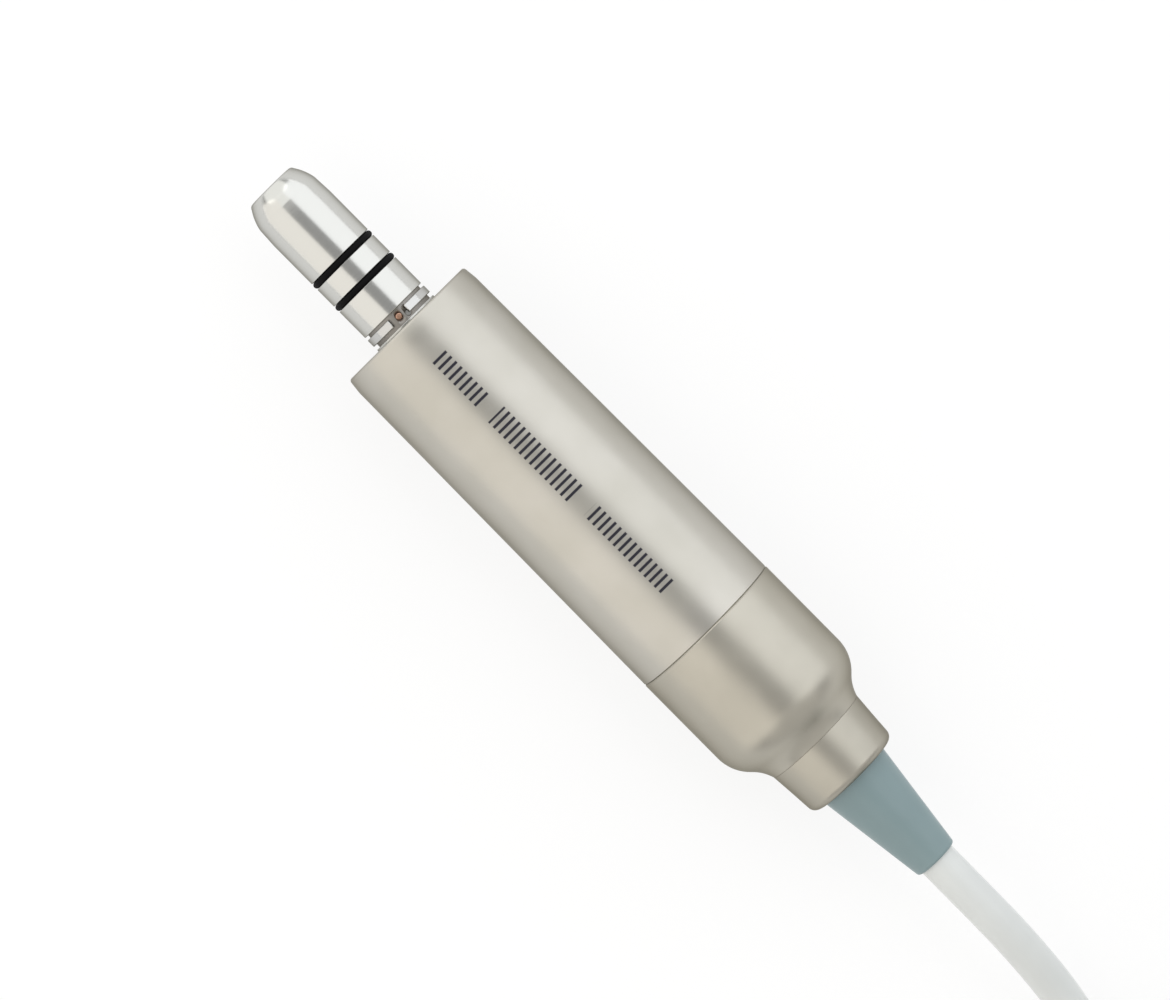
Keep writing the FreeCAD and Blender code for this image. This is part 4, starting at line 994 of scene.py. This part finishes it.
marked_titanium = blasted_metal("marked_titanium", colour(186, 183, 174), colour(192, 189, 181), 0.36)
rear_metal = blasted_metal("rear_metal", colour(177, 173, 162), colour(184, 180, 169), 0.38)
collar_metal = blasted_metal("collar_metal", colour(170, 166, 155), colour(177, 173, 162), 0.40)
polished = turned_metal("polished_steel", colour(202, 202, 198), colour(206, 206, 202), 0.19, lines=7000.0,
                        strength=0.01)
# Painted shade: the groove floors are coloured much darker than the polished steel, while their rougher
# finish is real.
groove_steel_and_shade = turned_metal("turned_groove_and_painted_shade", colour(141, 138, 133), colour(154, 151, 146), 0.4, lines=9000.0)
bright_steel = turned_metal("bright_steel", colour(190, 190, 188), colour(202, 202, 200), 0.16)
ground_steel = turned_metal("ground_steel", colour(168, 168, 168), colour(190, 190, 188), 0.30, strength=0.1)
brass = turned_metal("brass", colour(176, 138, 118), colour(188, 152, 130), 0.38)
bell_metal = turned_metal("bell_aluminium", colour(182, 184, 186), colour(196, 198, 200), 0.32, strength=0.12)
plug_metal = turned_metal("plug_metal", colour(191, 191, 190), colour(198, 198, 197), 0.24, lines=9000.0,
                          strength=0.02)
gold = turned_metal("contact_gold", colour(214, 176, 96), colour(226, 190, 110), 0.2)
sintered = turned_metal("sintered_magnet", colour(86, 86, 90), colour(104, 104, 108), 0.45)

# %% [markdown]
# ## Tick marks
# A row of plain printed ticks runs along the top of the barrel in three groups, dark on the metal. A stripe
# repeats along X, and windows along X and Y cut the groups out of it. Each tick is a soft-edged stripe, so it
# stays smooth close up. Where there is ink, the surface is not metal but matte paint.

# %% Tick marks
TICK_PITCH = 1.0 * MM
TICK_SHARE = 0.42
TICK_EDGE = 0.05
GROUP_END_EDGE = 0.03 * MM
GROUP_SIDE_EDGE = 0.04 * MM
TICK_GROUPS = [(-14.9, -5.8, 1.25), (-32.9, -17.4, 1.55), (-51.0, -35.7, 1.25)]
INK = colour(40, 40, 50)


class Marks:
    """Short ways to do sums on a finish's coordinates."""

    def __init__(self, finish):
        self.finish = finish
        split = finish.nodes.new("ShaderNodeSeparateXYZ")
        finish.links.new(finish.place, split.inputs[0])
        self.x, self.y, self.z = split.outputs[:3]

    def sum(self, operation, first, second=0.0):
        """One step of arithmetic on two numbers or sockets."""
        node = self.finish.nodes.new("ShaderNodeMath")
        node.operation = operation
        for socket, value in zip(node.inputs, (first, second)):
            if isinstance(value, (int, float)):
                socket.default_value = value
            else:
                self.finish.links.new(value, socket)
        return node.outputs[0]

    def window(self, value, low, high, edge):
        """One between low and high, and zero outside, with soft edges."""
        rise = self.finish.between(value, 0.0, 1.0, low - edge, low + edge)
        fall = self.finish.between(value, 1.0, 0.0, high - edge, high + edge)
        return self.sum("MULTIPLY", rise, fall)


marks = Marks(marked_titanium)
phase = marks.sum("FRACT", marks.sum("DIVIDE", marks.x, TICK_PITCH))
stripe = marks.window(phase, 0.5 - TICK_SHARE / 2, 0.5 + TICK_SHARE / 2, TICK_EDGE)
ink = 0.0
for rear_end, front_end, half_height in TICK_GROUPS:
    along = marks.window(marks.x, rear_end * MM, front_end * MM, GROUP_END_EDGE)
    across = marks.window(marks.y, -half_height * MM, half_height * MM, GROUP_SIDE_EDGE)
    ink = marks.sum("ADD", ink, marks.sum("MULTIPLY", along, across))
ink = marks.sum("MULTIPLY", ink, stripe)
ink = marks.sum("MULTIPLY", ink, marks.sum("GREATER_THAN", marks.z, 0.0))
bare = marked_titanium.shader.inputs["Base Color"].links[0].from_socket
printed = marked_titanium.nodes.new("ShaderNodeMix")
printed.data_type = "RGBA"
marked_titanium.links.new(ink, printed.inputs[0])
marked_titanium.links.new(bare, printed.inputs[6])
printed.inputs[7].default_value = INK
marked_titanium.set("Base Color", printed.outputs[2])
marked_titanium.set("Metallic", marks.sum("SUBTRACT", 1.0, ink))

# %% [markdown]
# ## Rubber, silicone and plastics
# Rubber is dark and nearly matte. The boot is a blue-grey silicone with a soft sheen, and the cord's skin is
# a light grey one. Their bump is slow and shallow, like a moulded or drawn surface. Inside the housing sit
# laminated iron, copper wire, green board and moulded plastic.

# %% Rubber, silicone and plastics


def moulded(name, dark, light, roughness, grain=900.0, strength=0.08):
    """A moulded rubber or plastic."""
    finish = Finish(name)
    cloud = finish.noise(70.0, 3.0)
    finish.set("Base Color", finish.blend(cloud, dark, light))
    finish.set("Roughness", finish.between(finish.noise(300.0), roughness - 0.05, roughness + 0.05))
    finish.bump(finish.noise(grain, 3.0), strength, distance=0.05 * MM)
    return finish


black_rubber = moulded("black_rubber", colour(5, 5, 6), colour(9, 9, 10), 0.75)
black_rubber.shader.inputs["Specular IOR Level"].default_value = 0.12
seal_rubber = moulded("seal_rubber", colour(120, 48, 36), colour(136, 58, 44), 0.6)
boot_silicone = moulded("boot_silicone", colour(119, 139, 142), colour(126, 146, 149), 0.42)
cord_silicone = moulded("cord_silicone", colour(208, 211, 210), colour(215, 218, 216), 0.4)
insulation = moulded("insulation", colour(196, 186, 150), colour(208, 198, 164), 0.5)
cage_plastic = moulded("cage_plastic", colour(176, 126, 72), colour(190, 138, 82), 0.45)
board_green = moulded("board", colour(22, 82, 44), colour(28, 94, 52), 0.35)
dark_plastic = moulded("sensor_plastic", colour(30, 30, 32), colour(42, 42, 44), 0.45)
wire_plastic = moulded("wire_plastic", colour(196, 190, 176), colour(208, 202, 190), 0.4)
carbon = moulded("rotor_sleeve", colour(28, 28, 30), colour(40, 40, 44), 0.35, grain=2200.0, strength=0.2)
iron = turned_metal("laminations", colour(98, 100, 104), colour(128, 130, 134), 0.5, lines=1400.0,
                    strength=0.5)
copper = turned_metal("copper_winding", colour(166, 92, 54), colour(190, 112, 68), 0.35, lines=900.0,
                      strength=0.5)

# %% Each piece gets its finish


def wear(finish, *pieces):
    """Gives a finish to pieces of the scene, or to CAD nodes by name."""
    for piece in pieces:
        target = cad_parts[piece] if isinstance(piece, str) else piece
        target.data.materials.clear()
        target.data.materials.append(finish.material)


wear(marked_titanium, barrel)
wear(rear_metal, rear)
wear(collar_metal, collar)
nose.data.materials[0] = polished.material
nose.data.materials[1] = groove_steel_and_shade.material
wear(bright_steel, split_ring, "front_bearing_outer", "front_bearing_inner", "front_bearing_balls",
     "rear_bearing_outer", "rear_bearing_inner", "rear_bearing_balls", spring)
wear(brass, pin, "front_balance_ring", "rear_balance_ring")
wear(black_rubber, front_ring, rear_ring, strap)
wear(seal_rubber, "barrel_seal", "shaft_seal")
wear(boot_silicone, relief, plug_relief)
wear(cord_silicone, cord, "inlet_cable")
wear(bell_metal, "front_bell", "rear_bell", "cable_clamp")
wear(insulation, "front_insulator", "rear_insulator")
wear(iron, "stator_laminations")
wear(copper, "stator_winding")
wear(cage_plastic, "front_bearing_cage", "rear_bearing_cage")
wear(ground_steel, "preload_spring", "retaining_ring", "rotor_shaft", "dog_clip", "drive_dog")
wear(sintered, "rotor_magnet", "sensor_magnet")
wear(carbon, "magnet_sleeve")
wear(board_green, "sensor_board")
wear(dark_plastic, "hall_sensors", insert)
wear(wire_plastic, "lead_wires")
wear(plug_metal, plug_shell, grip)
wear(gold, contacts)

# %% [markdown]
# ## Table and light
# The table and the low wall round it are plain white paper. Camera, mirror and glass rays see mostly even
# white, with enough of the real surface mixed in to keep the motor's shadow, and all other light sees the
# real surface alone.
#
# Five soft lamps light the motor. Two long ones stand on either side and leave a gap overhead, which draws
# the calmer band along the top of the barrel. Ahead of the motor a narrow lamp hangs in that gap, and a
# round-ended one stands past the nose, so the gap's dark stripe stops short of the tip and the lead-in is
# bright. Their edges follow the side lamps' edges, because where two lamps overlap or part, a polished
# surface shows a spot. The last lamp stands behind the tail and lights the shoulder and the collar.

# %% Table and wall
SHADOW_SHARE = 0.2
PAPER = (0.96, 0.96, 0.96, 1.0)


def white_paper():
    """White paper, which camera, mirror and glass rays see as plain white but for its share of shadow."""
    paper = bpy.data.materials.new("white_table")
    paper.use_nodes = True
    nodes, links = paper.node_tree.nodes, paper.node_tree.links
    shader = nodes["Principled BSDF"]
    shader.inputs["Base Color"].default_value = PAPER
    shader.inputs["Roughness"].default_value = 0.9
    shader.inputs["Specular IOR Level"].default_value = 0.1
    rays = nodes.new("ShaderNodeLightPath")
    seen = rays.outputs["Is Camera Ray"]
    for kind in ("Is Glossy Ray", "Is Transmission Ray"):
        either = nodes.new("ShaderNodeMath")
        either.operation = "MAXIMUM"
        links.new(seen, either.inputs[0])
        links.new(rays.outputs[kind], either.inputs[1])
        seen = either.outputs[0]
    share = nodes.new("ShaderNodeMath")
    share.operation = "MULTIPLY"
    share.inputs[1].default_value = 1 - SHADOW_SHARE
    links.new(seen, share.inputs[0])
    plain_white = nodes.new("ShaderNodeEmission")
    plain_white.inputs["Strength"].default_value = 1.0
    mix = nodes.new("ShaderNodeMixShader")
    links.new(share.outputs[0], mix.inputs["Fac"])
    links.new(shader.outputs["BSDF"], mix.inputs[1])
    links.new(plain_white.outputs[0], mix.inputs[2])
    links.new(mix.outputs[0], nodes["Material Output"].inputs["Surface"])
    return paper


TABLE_SIZE = 8.0
WALL_RADIUS = 3.0
WALL_HEIGHT = 0.34
paper = white_paper()
bpy.ops.object.select_all(action="DESELECT")
bpy.ops.mesh.primitive_plane_add(size=TABLE_SIZE, location=(0, 0, FLOOR))
table = bpy.context.object
table.name = "table"
table.data.materials.append(paper)
bpy.ops.object.select_all(action="DESELECT")
bpy.ops.mesh.primitive_cylinder_add(vertices=96, radius=WALL_RADIUS, depth=WALL_HEIGHT,
                                    end_fill_type="NOTHING", location=(0, 0, FLOOR + WALL_HEIGHT / 2))
wall = bpy.context.object
wall.name = "wall"
wall.data.materials.append(paper)

# %% World
WORLD_LEVEL = 0.4
world = bpy.data.worlds.new("surround")
bpy.context.scene.world = world
world.use_nodes = True
world.node_tree.nodes["Background"].inputs["Color"].default_value = (1, 1, 1, 1)
world.node_tree.nodes["Background"].inputs["Strength"].default_value = WORLD_LEVEL

# %% Lamps
LAMP_DISTANCE = 0.9


def soft_lamp(name, middle, direction, length, width, power, tint, shape="RECTANGLE"):
    """A soft lamp that faces a point from some direction.

    Its length lies along the motor, or across it where the lamp stands before the nose or the tail.
    """
    lamp = bpy.data.lights.new(name, "AREA")
    lamp.shape = shape
    lamp.size = length
    lamp.size_y = width
    lamp.energy = power
    lamp.color = tint[:3]
    lamp_object = bpy.data.objects.new(name, lamp)
    lamp_object.visible_camera = False
    bpy.context.scene.collection.objects.link(lamp_object)
    away = Vector(direction).normalized()
    along = Vector((0, 1, 0)) if abs(away.x) > abs(away.y) else Vector((1, 0, 0))
    across = away.cross(along)
    turn = Matrix((along, across, away)).transposed()
    lamp_object.matrix_world = Matrix.Translation(Vector(middle) + away * LAMP_DISTANCE) @ turn.to_4x4()


def leaning(degrees):
    """How far sideways and up a direction goes that leans this far from upright."""
    return math.sin(math.radians(degrees)), math.cos(math.radians(degrees))


SIDE_LEAN = 51
END_LEAN = 66
TAIL_LEAN = 47
COOL = colour(250, 252, 255)
WARM = colour(255, 250, 243)
NEUTRAL = colour(255, 255, 252)
SOFT_WARM = colour(255, 252, 247)
side, rise = leaning(SIDE_LEAN)
soft_lamp("lamp_right", middle=(0.23, 0, 0), direction=(0, -side, rise), length=1.64, width=1.2,
          power=6.85, tint=COOL)
soft_lamp("lamp_left", middle=(0.23, 0, 0), direction=(0, side, rise), length=1.64, width=1.2,
          power=5.45, tint=WARM)
soft_lamp("lamp_above", middle=(0.549, 0, 0), direction=(0, 0, 1), length=0.725, width=0.563,
          power=1.10, tint=NEUTRAL)
side, rise = leaning(END_LEAN)
soft_lamp("lamp_end", middle=(0.02, 0, 0), direction=(side, 0, rise), length=1.26, width=0.72,
          power=1.96, tint=NEUTRAL, shape="ELLIPSE")
side, rise = leaning(TAIL_LEAN)
soft_lamp("lamp_tail", middle=(-0.08, 0, 0), direction=(-side, 0, rise), length=1.7, width=1.1,
          power=2.0, tint=SOFT_WARM)

bpy.context.scene.view_settings.view_transform = "Standard"

# %% [markdown]
# ## Last update
# The view layer is brought up to date at the end. The finished model has to stay inside the CAD model's
# box.

# %% Update
bpy.context.view_layer.update()
